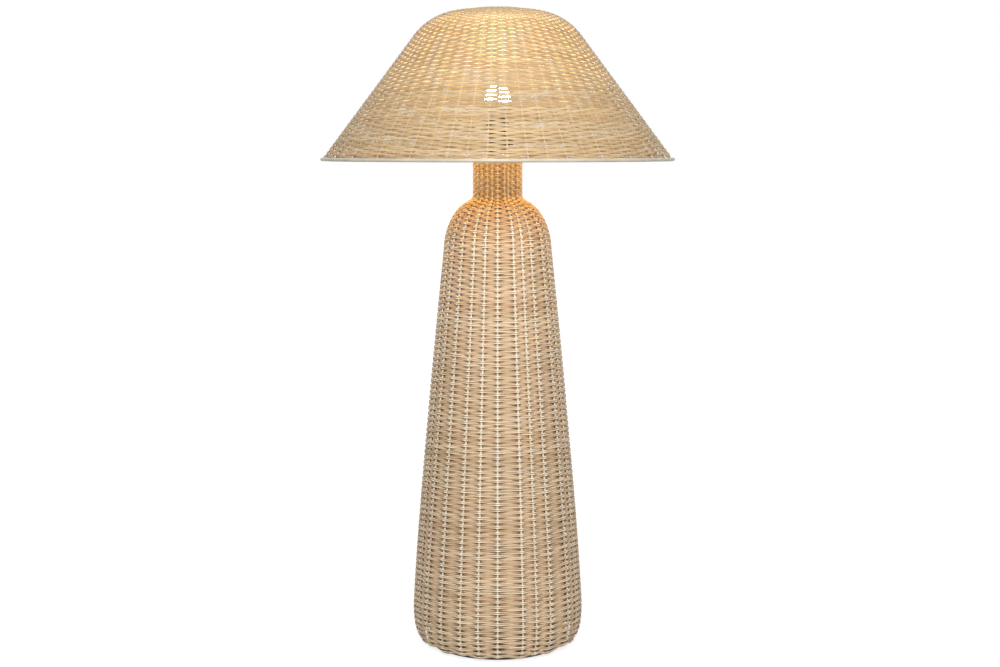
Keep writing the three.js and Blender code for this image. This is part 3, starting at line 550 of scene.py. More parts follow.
# On a wire the strand is painted paler: a painted highlight on its bulge.
in_front = remap(fibres, given["Crossing"], 0.1, 0.7, 0.0, 1.0)
painted_highlight = calculate(fibres, "MULTIPLY", in_front, given["Highlight Strength"])
highlit_ground = mix_colours(fibres, painted_highlight, ground, given["Highlight Colour"])
feed(fibres, result["Colour"], mix_colours(fibres, dark_share, highlit_ground, given["Dark"]))
feed(fibres, result["Roughness"], remap(fibres, streak, NOISE_LOW, NOISE_HIGH, *FIBRE_ROUGHNESS))
feed(fibres, result["Height"], streak)
print("Group:", fibres.name)

# %% [markdown]
# ## Paint, metal and plastic
# These finishes differ less in colour than in their small unevenness: a powder coat has orange
# peel, zinc has cloudy patches, moulded plastic has a fine grain. One group gives all three from
# noise on the object's own coordinates, and each material sets its scales and strengths.

# %% Mottled finish
mottle, given, result = new_group(
    "mottled_finish",
    [("Base", COLOUR), ("Patch", COLOUR), ("Patch Scale", FLOAT), ("Grain Scale", FLOAT),
     ("Roughness Low", FLOAT), ("Roughness High", FLOAT)],
    SURFACE_OUTPUTS,
)
here = add_node(mottle, "ShaderNodeTexCoord").outputs["Object"]
patches = noise(mottle, here, given["Patch Scale"], 3.0)
grain = noise(mottle, here, given["Grain Scale"], 2.0)
patchy = remap(mottle, patches, 0.35, 0.7, 0.0, 1.0)
feed(mottle, result["Colour"], mix_colours(mottle, patchy, given["Base"], given["Patch"]))
patch_part = calculate(mottle, "MULTIPLY", patches, 0.6)
blended = calculate(mottle, "ADD", patch_part, calculate(mottle, "MULTIPLY", grain, 0.4))
lowest, highest = given["Roughness Low"], given["Roughness High"]
feed(mottle, result["Roughness"], remap(mottle, blended, NOISE_LOW, NOISE_HIGH, lowest, highest))
feed(mottle, result["Height"], grain)
print("Group:", mottle.name)

# %% [markdown]
# ## Finishes
# Each finish is one material. Its Principled shader stays in the material, and takes what changes
# over the surface from one of the two groups. Its colours are the photograph's where it shows the
# piece, and those of the usual stuff where it doesn't.


# %% Materials from the two groups
RATTAN_BUMP, RATTAN_BUMP_DEPTH = 0.35, 0.3 * MM
MOTTLE_BUMP_DEPTH = 0.2 * MM


def new_finish(name, group, sockets, bump, bump_depth, constants):
    """Material whose Principled shader takes colour, roughness and bump from a group."""
    material = bpy.data.materials.new(name)
    material.use_nodes = True
    tree = material.node_tree
    shader = tree.nodes["Principled BSDF"]
    source = add_node(tree, "ShaderNodeGroup", node_tree=group)
    for socket, value in sockets.items():
        feed(tree, source.inputs[socket], value)
    feed(tree, shader.inputs["Base Color"], source.outputs["Colour"])
    feed(tree, shader.inputs["Roughness"], source.outputs["Roughness"])
    relief = {"Height": source.outputs["Height"], "Strength": bump, "Distance": bump_depth}
    feed(tree, shader.inputs["Normal"], add_node(tree, "ShaderNodeBump", relief).outputs[0])
    for socket, value in constants.items():
        feed(tree, shader.inputs[socket], value)
    return material, source


def rattan_finish(name, colours, painted_highlight, tucked_shade):
    """Rattan whose fibres follow the strand, under a thin coat of lacquer."""
    # The two numbers set the strength of the painted highlight on a wire and of the painted shade behind
    # one.
    sockets = {word: colour(*tint) for word, tint in colours.items()} | {"Highlight Strength": painted_highlight, "Tucked Shade": tucked_shade}
    lacquer = {"Coat Weight": 0.1, "Coat Roughness": 0.35}
    material, source = new_finish(name, fibres, sockets, RATTAN_BUMP, RATTAN_BUMP_DEPTH, lacquer)
    for attribute, socket, output in (("along", "Along", "Vector"), ("crossing", "Crossing", "Fac")):
        settings = {"attribute_name": attribute, "attribute_type": "GEOMETRY"}
        reader = add_node(material.node_tree, "ShaderNodeAttribute", **settings)
        feed(material.node_tree, source.inputs[socket], reader.outputs[output])
    return material


def mottled_finish(name, base, patch, roughness, scales, bump, **constants):
    """Painted, metal or moulded finish; keyword words are the shader's own sockets, _ for a space."""
    sockets = {
        "Base": colour(*base),
        "Patch": colour(*patch),
        "Patch Scale": scales[0],
        "Grain Scale": scales[1],
        "Roughness Low": roughness[0],
        "Roughness High": roughness[1],
    }
    shader_values = {word.replace("_", " "): value for word, value in constants.items()}
    return new_finish(name, mottle, sockets, bump, MOTTLE_BUMP_DEPTH, shader_values)[0]


print("Makers of finishes ready")

# %% [markdown]
# The tables give two colours, the lowest and highest roughness, the scales of patches and grain,
# and the strength of the bump. In the photograph the body's strands are paler where they cross a
# wire, and the shade's much less so: both get a painted highlight there, the shade's a weaker one.
# In the rattan tables the dark colour serves for flecks in the grain and for painted shade.

# %% Table of finishes
BODY_COLOURS = {
    "Pale": (236, 214, 182),
    "Deep": (196, 167, 129),
    "Warm": (212, 170, 132),
    "Dark": (96, 64, 34),
    "Highlight Colour": (246, 230, 204),
}
SHADE_COLOURS = {
    "Pale": (219, 199, 162),
    "Deep": (186, 157, 115),
    "Warm": (197, 157, 115),
    "Dark": (96, 66, 36),
    "Highlight Colour": (228, 210, 176),
}
PLAIN_FINISHES = {
    "stake_paint": ((238, 230, 212), (222, 210, 188), (0.32, 0.5), (30, 1400), 0.12),
    # The spokes' paint is given darker than the body's cream wires: painted shade, for how the spokes read
    # greyish in front of the shade's bright gaps.
    "spoke_paint": ((214, 202, 178), (198, 184, 158), (0.32, 0.5), (30, 1400), 0.12),
    "rim_paint": ((201, 193, 173), (187, 179, 159), (0.3, 0.45), (24, 1200), 0.12),
    "plate_paint": ((52, 50, 48), (66, 63, 60), (0.5, 0.7), (12, 1100), 0.35),
    "cap_paint": ((40, 38, 36), (54, 50, 47), (0.42, 0.62), (30, 1300), 0.3),
    "pad_rubber": ((42, 41, 40), (58, 56, 54), (0.7, 0.9), (60, 1600), 0.3),
    "lead_sheath": ((34, 33, 33), (46, 45, 44), (0.45, 0.6), (60, 1500), 0.12),
    "holder_plastic": ((30, 29, 29), (42, 40, 39), (0.3, 0.48), (50, 1500), 0.18),
    "bulb_white": ((240, 238, 233), (229, 226, 219), (0.34, 0.46), (40, 1400), 0.08),
    "board_white": ((238, 238, 236), (222, 222, 220), (0.3, 0.5), (80, 1400), 0.06),
    "bulb_glow": ((250, 246, 236), (240, 234, 220), (0.4, 0.5), (40, 1400), 0.05),
    "crown_wood": ((206, 170, 122), (176, 136, 90), (0.5, 0.65), (26, 700), 0.25),
}
METAL_FINISHES = {
    "zinc_steel": ((196, 198, 200), (168, 172, 176), (0.28, 0.46), (120, 1500), 0.08),
    "tube_steel": ((176, 178, 180), (150, 152, 154), (0.3, 0.5), (40, 1300), 0.1),
    "contact_brass": ((212, 178, 104), (184, 146, 80), (0.22, 0.4), (90, 1500), 0.08),
    "bulb_steel": ((204, 204, 204), (182, 182, 184), (0.2, 0.36), (90, 1500), 0.05),
}
PORCELAIN = ((236, 232, 224), (220, 214, 204), (0.12, 0.3), (60, 1200), 0.05)

finishes = {name: mottled_finish(name, *values) for name, values in PLAIN_FINISHES.items()}
for name, values in METAL_FINISHES.items():
    finishes[name] = mottled_finish(name, *values, Metallic=1.0)
finishes["porcelain"] = mottled_finish("porcelain", *PORCELAIN, Coat_Weight=0.6)
finishes["rattan_body"] = rattan_finish("rattan_body", BODY_COLOURS, painted_highlight=0.9, tucked_shade=0.6)
finishes["rattan_shade"] = rattan_finish("rattan_shade", SHADE_COLOURS, painted_highlight=0.3, tucked_shade=0.35)
print("Finishes:", len(finishes))

# %% [markdown]
# ## Lit dome
# The dome of the lit bulb is milky plastic that glows all over. Its emission colour comes from
# noise, because real milky plastic is a little uneven.

# %% Glow of the dome
GLOW_STRENGTH = 85.0
GLOW_CLOUDS = 60.0

glow = finishes["bulb_glow"]
glow_tree = glow.node_tree
glow_shader = glow_tree.nodes["Principled BSDF"]
glow_place = add_node(glow_tree, "ShaderNodeTexCoord").outputs["Object"]
glow_patch = remap(glow_tree, noise(glow_tree, glow_place, GLOW_CLOUDS), 0.35, 0.65, 0.0, 1.0)
glow_colour = mix_colours(glow_tree, glow_patch, (1.0, 0.72, 0.36, 1), (1.0, 0.78, 0.44, 1))
feed(glow_tree, glow_shader.inputs["Emission Color"], glow_colour)
feed(glow_tree, glow_shader.inputs["Emission Strength"], GLOW_STRENGTH)
print("Dome glows at", GLOW_STRENGTH)

# %% [markdown]
# ## Pieces that keep their CAD mesh
# Pieces sealed inside the lamp and small standard parts keep their CAD mesh. Each gets the
# finish of its slot in the record in place of the plain colour that it was imported with.

# %% Finishes of the CAD nodes
for row in frame["record"]["subparts"]:
    mesh = nodes[row["node"]].data
    mesh.materials.clear()
    mesh.materials.append(finishes[row["material_slot"]])

# %% [markdown]
# ## Sections
# The wall of the body and of the shade are each one line in an upright plane, the same all the
# way round. The line is sampled at every millimetre, smoothed over a short window, and then knows
# its direction and its outward normal everywhere, so a strand can be placed on it.

# %% Lines in the upright plane
Section = namedtuple("Section", "place line direction outward")


def smooth_line(corners, window=15):
    """Line through the corners at every millimetre, each point the weighted mean of its neighbours."""
    corners = np.array(corners, float)
    length = length_along(corners)
    place = np.linspace(0, length[-1], int(length[-1] / MM) + 1)
    line = np.stack([np.interp(place, length, corners[:, axis]) for axis in (0, 1)], -1)
    half = window // 2
    before = 2 * line[:1] - line[half:0:-1]
    after = 2 * line[-1:] - line[-2:-half - 2:-1]
    padded = np.concatenate([before, line, after])
    weights = np.hanning(2 * half + 3)[1:-1]
    weights /= weights.sum()
    return np.stack([np.convolve(padded[:, axis], weights, "valid") for axis in (0, 1)], -1)


def section_of(line):
    """Length along a line, its direction, and the normal to the right of it, at every point."""
    direction = unit(np.gradient(line, axis=0))
    outward = np.stack([direction[:, 1], -direction[:, 0]], -1)
    return Section(length_along(line), line, direction, outward)


def look_up(section, field, place):
    """Value of a section's field at a place along it, straight between its samples."""
    return np.stack([np.interp(place, section.place, field[:, axis]) for axis in (0, 1)], -1)


print("Section helpers ready")

# %% [markdown]
# ## Weaving
# One strand runs round and round in a single spiral, in front of one upright wire and behind the
# next. The count of wires is odd, so in the next round it passes each wire on the other side: that
# is plain weave. Rattan is stiff, so a strand runs nearly straight between two wires and bends close
# to them: its swing is a cosine to a power, and its steps are closer together near a wire. Rows are
# beaten down hard on each other, so a strand is a little flatter across the wall than along it, and
# a pair spreads at a wire, where the rows above and below it pass on the other side.


# %% Spiral course
STEP_BUNCHING = 0.45
COURSE_SAMPLES = 3000


def spiral_course(wire_turns, pitch, start, stop, steps):
    """Course that climbs one pitch in each round, so its rounds are the sum of 1 / pitch.
    Gives the count of wires passed, the turn and the place along the section at every step; the
    count is even steps less bunching * sin(2 pi count) / (2 pi)."""
    place = np.linspace(start, stop, COURSE_SAMPLES)
    rounds = np.concatenate([[0], np.cumsum(np.diff(place) / pitch(place[1:]))])
    count = len(wire_turns)
    even = np.arange(0, rounds[-1] * count, 1 / steps)
    passed = even - STEP_BUNCHING * np.sin(2 * np.pi * even) / (2 * np.pi)
    whole, part = np.divmod(passed, count)
    one_round = np.append(wire_turns, wire_turns[0] + 2 * np.pi)
    turn = 2 * np.pi * whole + np.interp(part, np.arange(count + 1), one_round)
    return passed, turn, np.interp(passed / count, rounds, place)


print("Course helper ready")

# %% [markdown]
# ## Strand
# A strand is drawn to one thickness, but the hand that weaves it lets it wander a little, up, down
# and in its thickness. Its tone changes where a new length of rattan begins. Where it crosses a
# wire its colour gets a painted highlight, and where it passes behind one a painted shade.


# %% Strand
STRAND_SQUEEZE = 0.84
STRAND_SHIFT = 0.2 * MM
THICKNESS_WANDER = 0.05
# Reach of the painted highlight on a wire and of the painted shade behind one.
HIGHLIGHT_REACH = 5 * MM
TUCKED_SHADE_REACH = 9 * MM
MOST_OF_A_SPAN = 0.45
STRETCH_OF_ONE_TONE = (0.8, 3.0)
TONES_DRAWN = 4000


def wander(passed, randoms, waves=6, slowest=0.03, fastest=0.9):
    """Smooth unevenness, mostly between -1.5 and 1.5: a sum of sines of random pace and phase."""
    pace = randoms.uniform(slowest, fastest, waves)[:, None]
    phase = randoms.uniform(0, 2 * np.pi, waves)[:, None]
    return np.sin(pace * passed * np.pi + phase).sum(0) / math.sqrt(waves)


def crossing_of(passed, span):
    """1 on a wire and -1 behind one, less by the distance from it over the reach, and 0 further off."""
    nearest = np.round(passed)
    in_front = nearest % 2 == 0
    reach = np.minimum(np.where(in_front, HIGHLIGHT_REACH, TUCKED_SHADE_REACH), MOST_OF_A_SPAN * span)
    share = np.clip(1 - np.abs(passed - nearest) * span / reach, 0, 1)
    return np.where(in_front, share, -share)


def strand_grid(section, course, lane, wires, wire_radius, strand_radius, randoms, power, spread, sides=6):
    """Strand: centre = section point + outward * (wire radius + squeezed strand radius) * swing, where
    swing is cos(pi * wires passed) to a power, with its sign. lane moves it along the section, by
    more at a wire. Returns its grid of points, and the along vector and the crossing of each."""
    passed, turn, place = course
    wave = np.cos(np.pi * passed)
    unevenness = THICKNESS_WANDER * wander(passed, randoms)
    radius = strand_radius(place) * (1 + unevenness + spread / 2 * np.abs(wave))
    place = place + lane * (1 + spread * np.abs(wave)) + STRAND_SHIFT * wander(passed, randoms)
    reach = wire_radius + STRAND_SQUEEZE * strand_radius(place)
    swing = reach * np.sign(wave) * np.abs(wave) ** power
    outward = look_up(section, section.outward, place)
    centre = look_up(section, section.line, place) + swing[:, None] * outward
    path = at_turn(centre, turn)
    grid = carried_round(path, at_turn(outward, turn), radius, sides, STRAND_SQUEEZE)
    run = length_along(path)
    outer_share = np.abs(np.arange(sides) - sides / 2) / (sides / 2)
    stretches = np.cumsum(randoms.uniform(*STRETCH_OF_ONE_TONE, TONES_DRAWN))
    tone = randoms.uniform(0, 1, TONES_DRAWN)[np.searchsorted(stretches, run)]
    along = np.stack(np.broadcast_arrays(run[:, None], outer_share, tone[:, None]), -1)
    crossing = crossing_of(passed, 2 * np.pi * centre[:, 0] / wires)
    return grid, along, np.repeat(crossing[:, None], sides, 1)


print("Strand helper ready")

# %% [markdown]
# ## Bands
# One strand of the body is well over 100 m long, too much for one mesh. The strands are cut every few
# rounds at a wire behind the lamp, and each band between two cuts is one piece.


# %% Bands of the weave
STRAND_CREASE = 80


def with_ends(values):
    """Values of a grid's points in one row, then those of the two points that close its ends."""
    return np.concatenate([values.reshape(-1, *values.shape[2:]), values[[0, -1], 0]])


def weave_bands(name, strands, wires, steps, rounds, slot, body, node):
    """Cuts the grids of all strands at the same rows, and makes each band one piece."""
    rows = rounds * wires * steps
    total = max(len(grid) for grid, along, crossing in strands)
    for band, first in enumerate(range(0, total - 1, rows)):
        parts = [[values[first:first + rows + 1] for values in strand] for strand in strands]
        shape = joined([skin(grid) for grid, along, crossing in parts])
        along = np.concatenate([with_ends(along) for grid, along, crossing in parts])
        crossing = np.concatenate([with_ends(crossing) for grid, along, crossing in parts])
        add_piece(f"{name}_{band + 1}", shape, slot, body, [node], along, crossing, STRAND_CREASE)


print("Band helper ready")

# %% [markdown]
# ## Body
# Twenty-seven upright wires are welded to a hoop at the foot and a hoop at the neck. They were
# spaced by eye: the gaps in front differ, and the photograph shows which are wide. The outline
# goes from the foot out to the belly, up in a slightly full taper, over a round shoulder to the neck.

# %% Outline of the body
STAKES = 27
STAKE_RADIUS = 2.35 * MM
BODY_STRAND = 3.4 * MM
FRONT_SPAN_SHARES = [1.16, 1.16, 0.95, 0.98, 1.28, 0.73, 0.85, 1.35]
SPANS_LEFT_OF_FRONT = 4
FOOT_RADIUS = 180 * MM
BELLY_RADIUS = 205 * MM
BELLY_HEIGHT = 90 * MM
SHOULDER_RADIUS = 128 * MM
SHOULDER_HEIGHT = 952 * MM
NECK_RADIUS = 59.2 * MM
NECK_FOOT = 1062 * MM
NECK_TOP = 1153 * MM
CORNER_POWER = 2.2
TAPER_POWER = 1.2
SHOULDER_POWER = 1.8
SHOULDER_TURN_SHARE = 0.87
LOWER_HOOP_RADIUS = 165 * MM
HOOP_THICKNESS = 6 * MM

frame_low, frame_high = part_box("body_frame")
lower_hoop_height = frame_low.z + HOOP_THICKNESS / 2
stake_offset = BODY_STRAND + STAKE_RADIUS
foot_height = lower_hoop_height - stake_offset


def body_outline(steps=60):
    """Corner: r = foot + (belly - foot) cos^(2/p), z = belly - (belly - foot) sin^(2/p) for a quarter
    turn down from the belly. The taper loses radius as the power of the share of its height. The
    shoulder is the corner's curve with its own power, then the neck."""
    turn = np.linspace(np.pi / 2, 0, steps)
    corner = np.stack([
        FOOT_RADIUS + (BELLY_RADIUS - FOOT_RADIUS) * np.cos(turn) ** (2 / CORNER_POWER),
        BELLY_HEIGHT - (BELLY_HEIGHT - foot_height) * np.sin(turn) ** (2 / CORNER_POWER),
    ], -1)
    share = np.linspace(0, 1, steps)[1:-1]
    taper = np.stack([
        BELLY_RADIUS - (BELLY_RADIUS - SHOULDER_RADIUS) * share ** TAPER_POWER,
        BELLY_HEIGHT + (SHOULDER_HEIGHT - BELLY_HEIGHT) * share,
    ], -1)
    turn = np.linspace(0, np.pi / 2 * SHOULDER_TURN_SHARE, steps)
    shoulder = np.stack([
        NECK_RADIUS + (SHOULDER_RADIUS - NECK_RADIUS) * np.cos(turn) ** (2 / SHOULDER_POWER),
        SHOULDER_HEIGHT + (NECK_FOOT - SHOULDER_HEIGHT) * np.sin(turn) ** (2 / SHOULDER_POWER),
    ], -1)
    neck = [[NECK_RADIUS, NECK_FOOT + stake_offset], [NECK_RADIUS, NECK_TOP]]
    return np.concatenate([corner, taper, shoulder, neck])


def stake_turns():
    """Turns of the upright wires from the front: uneven in front, even behind, sorted from the back."""
    behind = STAKES - len(FRONT_SPAN_SHARES)
    even_share = (STAKES - sum(FRONT_SPAN_SHARES)) / behind
    shares = np.array(FRONT_SPAN_SHARES + [even_share] * behind)
    steps = np.concatenate([[0], np.cumsum(shares[:-1])]) - sum(FRONT_SPAN_SHARES[:SPANS_LEFT_OF_FRONT])
    turns = steps * 2 * np.pi / STAKES % (2 * np.pi)
    return np.sort(np.where(turns < np.pi, turns + 2 * np.pi, turns))


outside = section_of(smooth_line(body_outline()))
body_section = section_of(outside.line - stake_offset * outside.outward)
body_turns = stake_turns()
print("Body wall is", round(body_section.place[-1], 3), "m from foot to neck")


# %% [markdown]
# ## Wires of the body
# The wires follow the middle of the wall. Each runs from the lower hoop, round the corner and up
# to the upper hoop; one wire is made in front and then copied to every turn.

# %% Wires of the body
WIRE_SPACING = 14 * MM


def spaced(section):
    """Points of a section about one spacing apart."""
    places = np.linspace(0, section.place[-1], int(section.place[-1] / WIRE_SPACING))
    return look_up(section, section.line, places)


upper_hoop_height = frame_high.z - HOOP_THICKNESS / 2
upper_hoop_radius = NECK_RADIUS - stake_offset
stake_line = np.concatenate([
    [[LOWER_HOOP_RADIUS, lower_hoop_height]],
    spaced(body_section),
    [[upper_hoop_radius, upper_hoop_height]],
])
body_wires = joined([
    copies_round(upright_wire(stake_line, STAKE_RADIUS), body_turns),
    hoop(LOWER_HOOP_RADIUS, lower_hoop_height, HOOP_THICKNESS),
    hoop(upper_hoop_radius, upper_hoop_height, HOOP_THICKNESS, steps=96),
])
add_piece("body_wires", body_wires, "stake_paint", "stand", ["body_frame"])

# %% [markdown]
# ## Weave of the body
# The body is woven with two thin strands side by side. Rows are a little closer and thinner on
# the shoulder and neck, where the wires stand near each other. The last rows pass over the hoop at
# the top of the neck, so they swing out a little further.

# %% Weave of the body
BODY_PITCH = 6.6 * MM
NECK_PITCH = 6.4 * MM
BODY_STEPS = 8
BODY_ROUNDS = 37
STRAND_SHARE_OF_PITCH = 0.27
NECK_STRAND_SHARE = 0.25
SHOULDER_STRETCH = 80 * MM
FIRST_ROW_SHARE, LAST_ROW_SHARE = 0.65, 0.55
BODY_SPREAD = 0.22
BODY_SWING_POWER = 1.5
BODY_SEED = 27

shoulder_place = np.interp(SHOULDER_HEIGHT, body_section.line[:, 1], body_section.place)
shoulder_stretch = [shoulder_place, shoulder_place + SHOULDER_STRETCH]


def body_pitch(place):
    """Height of a row: the body's up to the shoulder, then easing to the neck's."""
    return np.interp(place, shoulder_stretch, [BODY_PITCH, NECK_PITCH])


def body_strand_radius(place):
    """Share of the pitch that eases in the same way."""
    share = np.interp(place, shoulder_stretch, [STRAND_SHARE_OF_PITCH, NECK_STRAND_SHARE])
    return share * body_pitch(place)


weave_start = BODY_PITCH * FIRST_ROW_SHARE
weave_stop = body_section.place[-1] - NECK_PITCH * LAST_ROW_SHARE
body_course = spiral_course(body_turns, body_pitch, weave_start, weave_stop, BODY_STEPS)
body_randoms = np.random.default_rng(BODY_SEED)
half_lane = body_pitch(body_course[2]) / 4
hoop_place = np.interp(upper_hoop_height - HOOP_THICKNESS, body_section.line[:, 1], body_section.place)
hoop_share = np.clip((body_course[2] - hoop_place) / HOOP_THICKNESS, 0, 1)
body_wire_radius = STAKE_RADIUS + (HOOP_THICKNESS / 2 - STAKE_RADIUS) * hoop_share
body_strands = [
    strand_grid(
        body_section, body_course, side * half_lane, STAKES, body_wire_radius, body_strand_radius,
        body_randoms, BODY_SWING_POWER, BODY_SPREAD)
    for side in (-1, 1)
]
weave_bands(
    "body_strands", body_strands, STAKES, BODY_STEPS, BODY_ROUNDS,
    "rattan_body", "stand", "body_weave")

# %% [markdown]
# ## Shade
# The shade is a cone with a round crown. Fifty-nine thin spokes run from the rim ring to a
# small ring at the top, and two thin strands side by side are woven round them, as in the body.

# %% Outline of the shade
SPOKES = 59
SPOKE_RADIUS = 1.25 * MM
SHADE_STRAND = 2.85 * MM
SIDE_FOOT_RADIUS = 402.1 * MM
SIDE_FOOT_RISE = 7.5 * MM
ROWS_BELOW_FOOT = 6 * MM
RIM_THICKNESS = 8 * MM
RIM_DROP = 2 * MM
CROWN_CORNER_RADIUS = 152.5 * MM
CROWN_FLAT_WIDTH = 20 * MM
CROWN_RING_RADIUS = 57 * MM
CROWN_RING_THICKNESS = 5 * MM
WEAVE_GAP = 0.3 * MM

rim_low, rim_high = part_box("rim_ring")
rim_height = (rim_low.z + rim_high.z) / 2
rim_radius = rim_high.x - RIM_THICKNESS / 2
disc_low, disc_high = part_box("crown_disc")
crown_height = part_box("shade_weave")[1].z
crown_flat_radius = disc_high.x + CROWN_FLAT_WIDTH
spoke_offset = SHADE_STRAND + WEAVE_GAP + SPOKE_RADIUS


def shade_outline(steps=40):
    """Straight side, then an arc that turns it level: centre + round (sin t, cos t), then the flat."""
    foot = np.array([SIDE_FOOT_RADIUS, rim_height + SIDE_FOOT_RISE])
    corner = np.array([CROWN_CORNER_RADIUS, crown_height])
    side = corner - foot
    slope = math.atan2(side[1], -side[0])
    crown_round = (CROWN_CORNER_RADIUS - crown_flat_radius) / math.tan(slope / 2)
    turn = np.linspace(slope, 0, steps)
    arc = np.stack([
        crown_flat_radius + crown_round * np.sin(turn),
        crown_height - crown_round + crown_round * np.cos(turn),
    ], -1)
    below = foot - side / np.linalg.norm(side) * ROWS_BELOW_FOOT
    return np.concatenate([[below], arc, [[disc_high.x + WEAVE_GAP, crown_height]]])


shade_outside = section_of(smooth_line(shade_outline()))
shade_section = section_of(shade_outside.line - spoke_offset * shade_outside.outward)
spoke_turns = 2 * np.pi * np.arange(SPOKES) / SPOKES + np.pi
print("Shade wall is", round(shade_section.place[-1], 3), "m from rim to crown")

# %% [markdown]
# ## Spokes and rings
# The spokes follow the middle of the shade's wall and are welded to the small ring at the crown
# and to the thick ring at the rim. One spoke is made in front and then copied to every turn.

# %% Spokes and rings of the shade
crown_ring_height = crown_height - spoke_offset
spoke_line = np.concatenate([
    [[rim_radius, rim_height - RIM_DROP]],
    spaced(shade_section),
    [[CROWN_RING_RADIUS, crown_ring_height]],
])
shade_wires = joined([
    copies_round(upright_wire(spoke_line, SPOKE_RADIUS), spoke_turns),
    hoop(CROWN_RING_RADIUS, crown_ring_height, CROWN_RING_THICKNESS, steps=96),
])
add_piece("shade_wires", shade_wires, "spoke_paint", "shade", ["shade_frame"])
rim = hoop(rim_radius, rim_height - RIM_DROP, RIM_THICKNESS, steps=288, sides=16)
add_piece("rim_hoop", rim, "rim_paint", "shade", ["rim_ring"])

# %% [markdown]
# ## Weave of the shade
# The strands of the shade are thinner and nearly fill their rows, so that light shows only in
# small gaps at the spokes. The rows are fullest at the crown and at the rim, and a little more open
# above the middle, and they come closer together over the crown.

# %% Weave of the shade
SHADE_PITCH = 5.75 * MM
CROWN_PITCH = 5.0 * MM
SHADE_STEPS = 6
SHADE_SIDES = 5
SHADE_ROUNDS = 27
WALL_SHARES = [0, 0.3, 0.55, 0.8, 1]
SHARES_OF_PITCH = [0.272, 0.266, 0.24, 0.243, 0.29]
SHADE_SWING_POWER = 1.0
SHADE_FIRST_ROW_SHARE, SHADE_LAST_ROW_SHARE = 0.5, 0.4
SHADE_SEED = 57

crown_place = np.interp(-CROWN_CORNER_RADIUS, -shade_section.line[:, 0], shade_section.place)


def shade_pitch(place):
    """Height of a row: the same up to the crown's corner, then easing to the crown's own."""
    return np.interp(place, [crown_place, shade_section.place[-1]], [SHADE_PITCH, CROWN_PITCH])


def shade_strand_radius(place):
    """Share of the pitch, read from the shares of the way up the wall."""
    return np.interp(place / shade_section.place[-1], WALL_SHARES, SHARES_OF_PITCH) * shade_pitch(place)


shade_start = SHADE_PITCH * SHADE_FIRST_ROW_SHARE
shade_stop = shade_section.place[-1] - CROWN_PITCH * SHADE_LAST_ROW_SHARE
shade_course = spiral_course(spoke_turns, shade_pitch, shade_start, shade_stop, SHADE_STEPS)
shade_randoms = np.random.default_rng(SHADE_SEED)
shade_lane = shade_pitch(shade_course[2]) / 4
shade_strands = [
    strand_grid(
        shade_section, shade_course, side * shade_lane, SPOKES, SPOKE_RADIUS, shade_strand_radius,
        shade_randoms, SHADE_SWING_POWER, spread=0, sides=SHADE_SIDES)
    for side in (-1, 1)
]
weave_bands(
    "shade_strands", shade_strands, SPOKES, SHADE_STEPS, SHADE_ROUNDS,
    "rattan_shade", "shade", "shade_weave")

# %% [markdown]
# ## Base
# A heavy steel disc with a rounded edge stands on four rubber pads inside the foot of the weave.
# It is powder coated, so its edge is soft. Each is a short profile turned round an axis.

# %% Base plate and pads
PLATE_EDGE = 1.6 * MM
PAD_EDGE = 0.9 * MM
PADS = 4


def turned_disc(node, edge, sides):
    """Solid disc as wide and high as a CAD node, round its own middle, with a rounded edge."""
    low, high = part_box(node)
    radius = (high.x - low.x) / 2
    shape = turned(rounded(block(0, radius, low.z, high.z), edge, hollow=False), sides, hollow=False)
    middle = np.array([(high.x + low.x) / 2, (high.y + low.y) / 2, 0])
    return Shape(shape.points + middle, shape.quads, shape.triangles)


plate = turned_disc("base_plate", PLATE_EDGE, sides=160)
add_piece("base_disc", plate, "plate_paint", "stand", ["base_plate"])
for number in range(1, PADS + 1):
    pad = turned_disc(f"foot_pad_{number}", PAD_EDGE, sides=40)
    add_piece(f"rubber_pad_{number}", pad, "pad_rubber", "stand", [f"foot_pad_{number}"])

# %% [markdown]
# ## Neck cap
# A pressed cap closes the neck: its skirt goes down inside the hoop, and its edge lies on the last
# row of the weave. It is one bent sheet, so its profile is a line there and a line back.

# %% Neck cap
NECK_CAP_THICKNESS = 1.5 * MM
NECK_CAP_SKIRT_RADIUS = 47 * MM
NECK_CAP_EDGE = 0.7 * MM
NIPPLE_HOLE = 5.3 * MM

low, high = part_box("neck_cap")
neck_cap = rounded([
    [NIPPLE_HOLE, high.z - NECK_CAP_THICKNESS],
    [NECK_CAP_SKIRT_RADIUS - NECK_CAP_THICKNESS, high.z - NECK_CAP_THICKNESS],
    [NECK_CAP_SKIRT_RADIUS - NECK_CAP_THICKNESS, low.z],
    [NECK_CAP_SKIRT_RADIUS, low.z],
    [NECK_CAP_SKIRT_RADIUS, high.z - NECK_CAP_THICKNESS],
    [high.x, high.z - NECK_CAP_THICKNESS],
    [high.x, high.z],
    [NIPPLE_HOLE, high.z],
], NECK_CAP_EDGE)
add_piece("neck_cap_shell", turned(neck_cap, sides=96), "cap_paint", "stand", ["neck_cap"])

# %% [markdown]
# ## Lampholder's cap
# The moulded lampholder has a lower cap that screws on the nipple and flares out to the body.

# %% Cap of the lampholder
HOLDER_WALL = 2 * MM
HOLDER_BOSS_RADIUS = 8 * MM
HOLDER_BOSS_HEIGHT = 6 * MM
HOLDER_FLARE_HEIGHT = 7 * MM
HOLDER_CAP_EDGE = 1.0 * MM

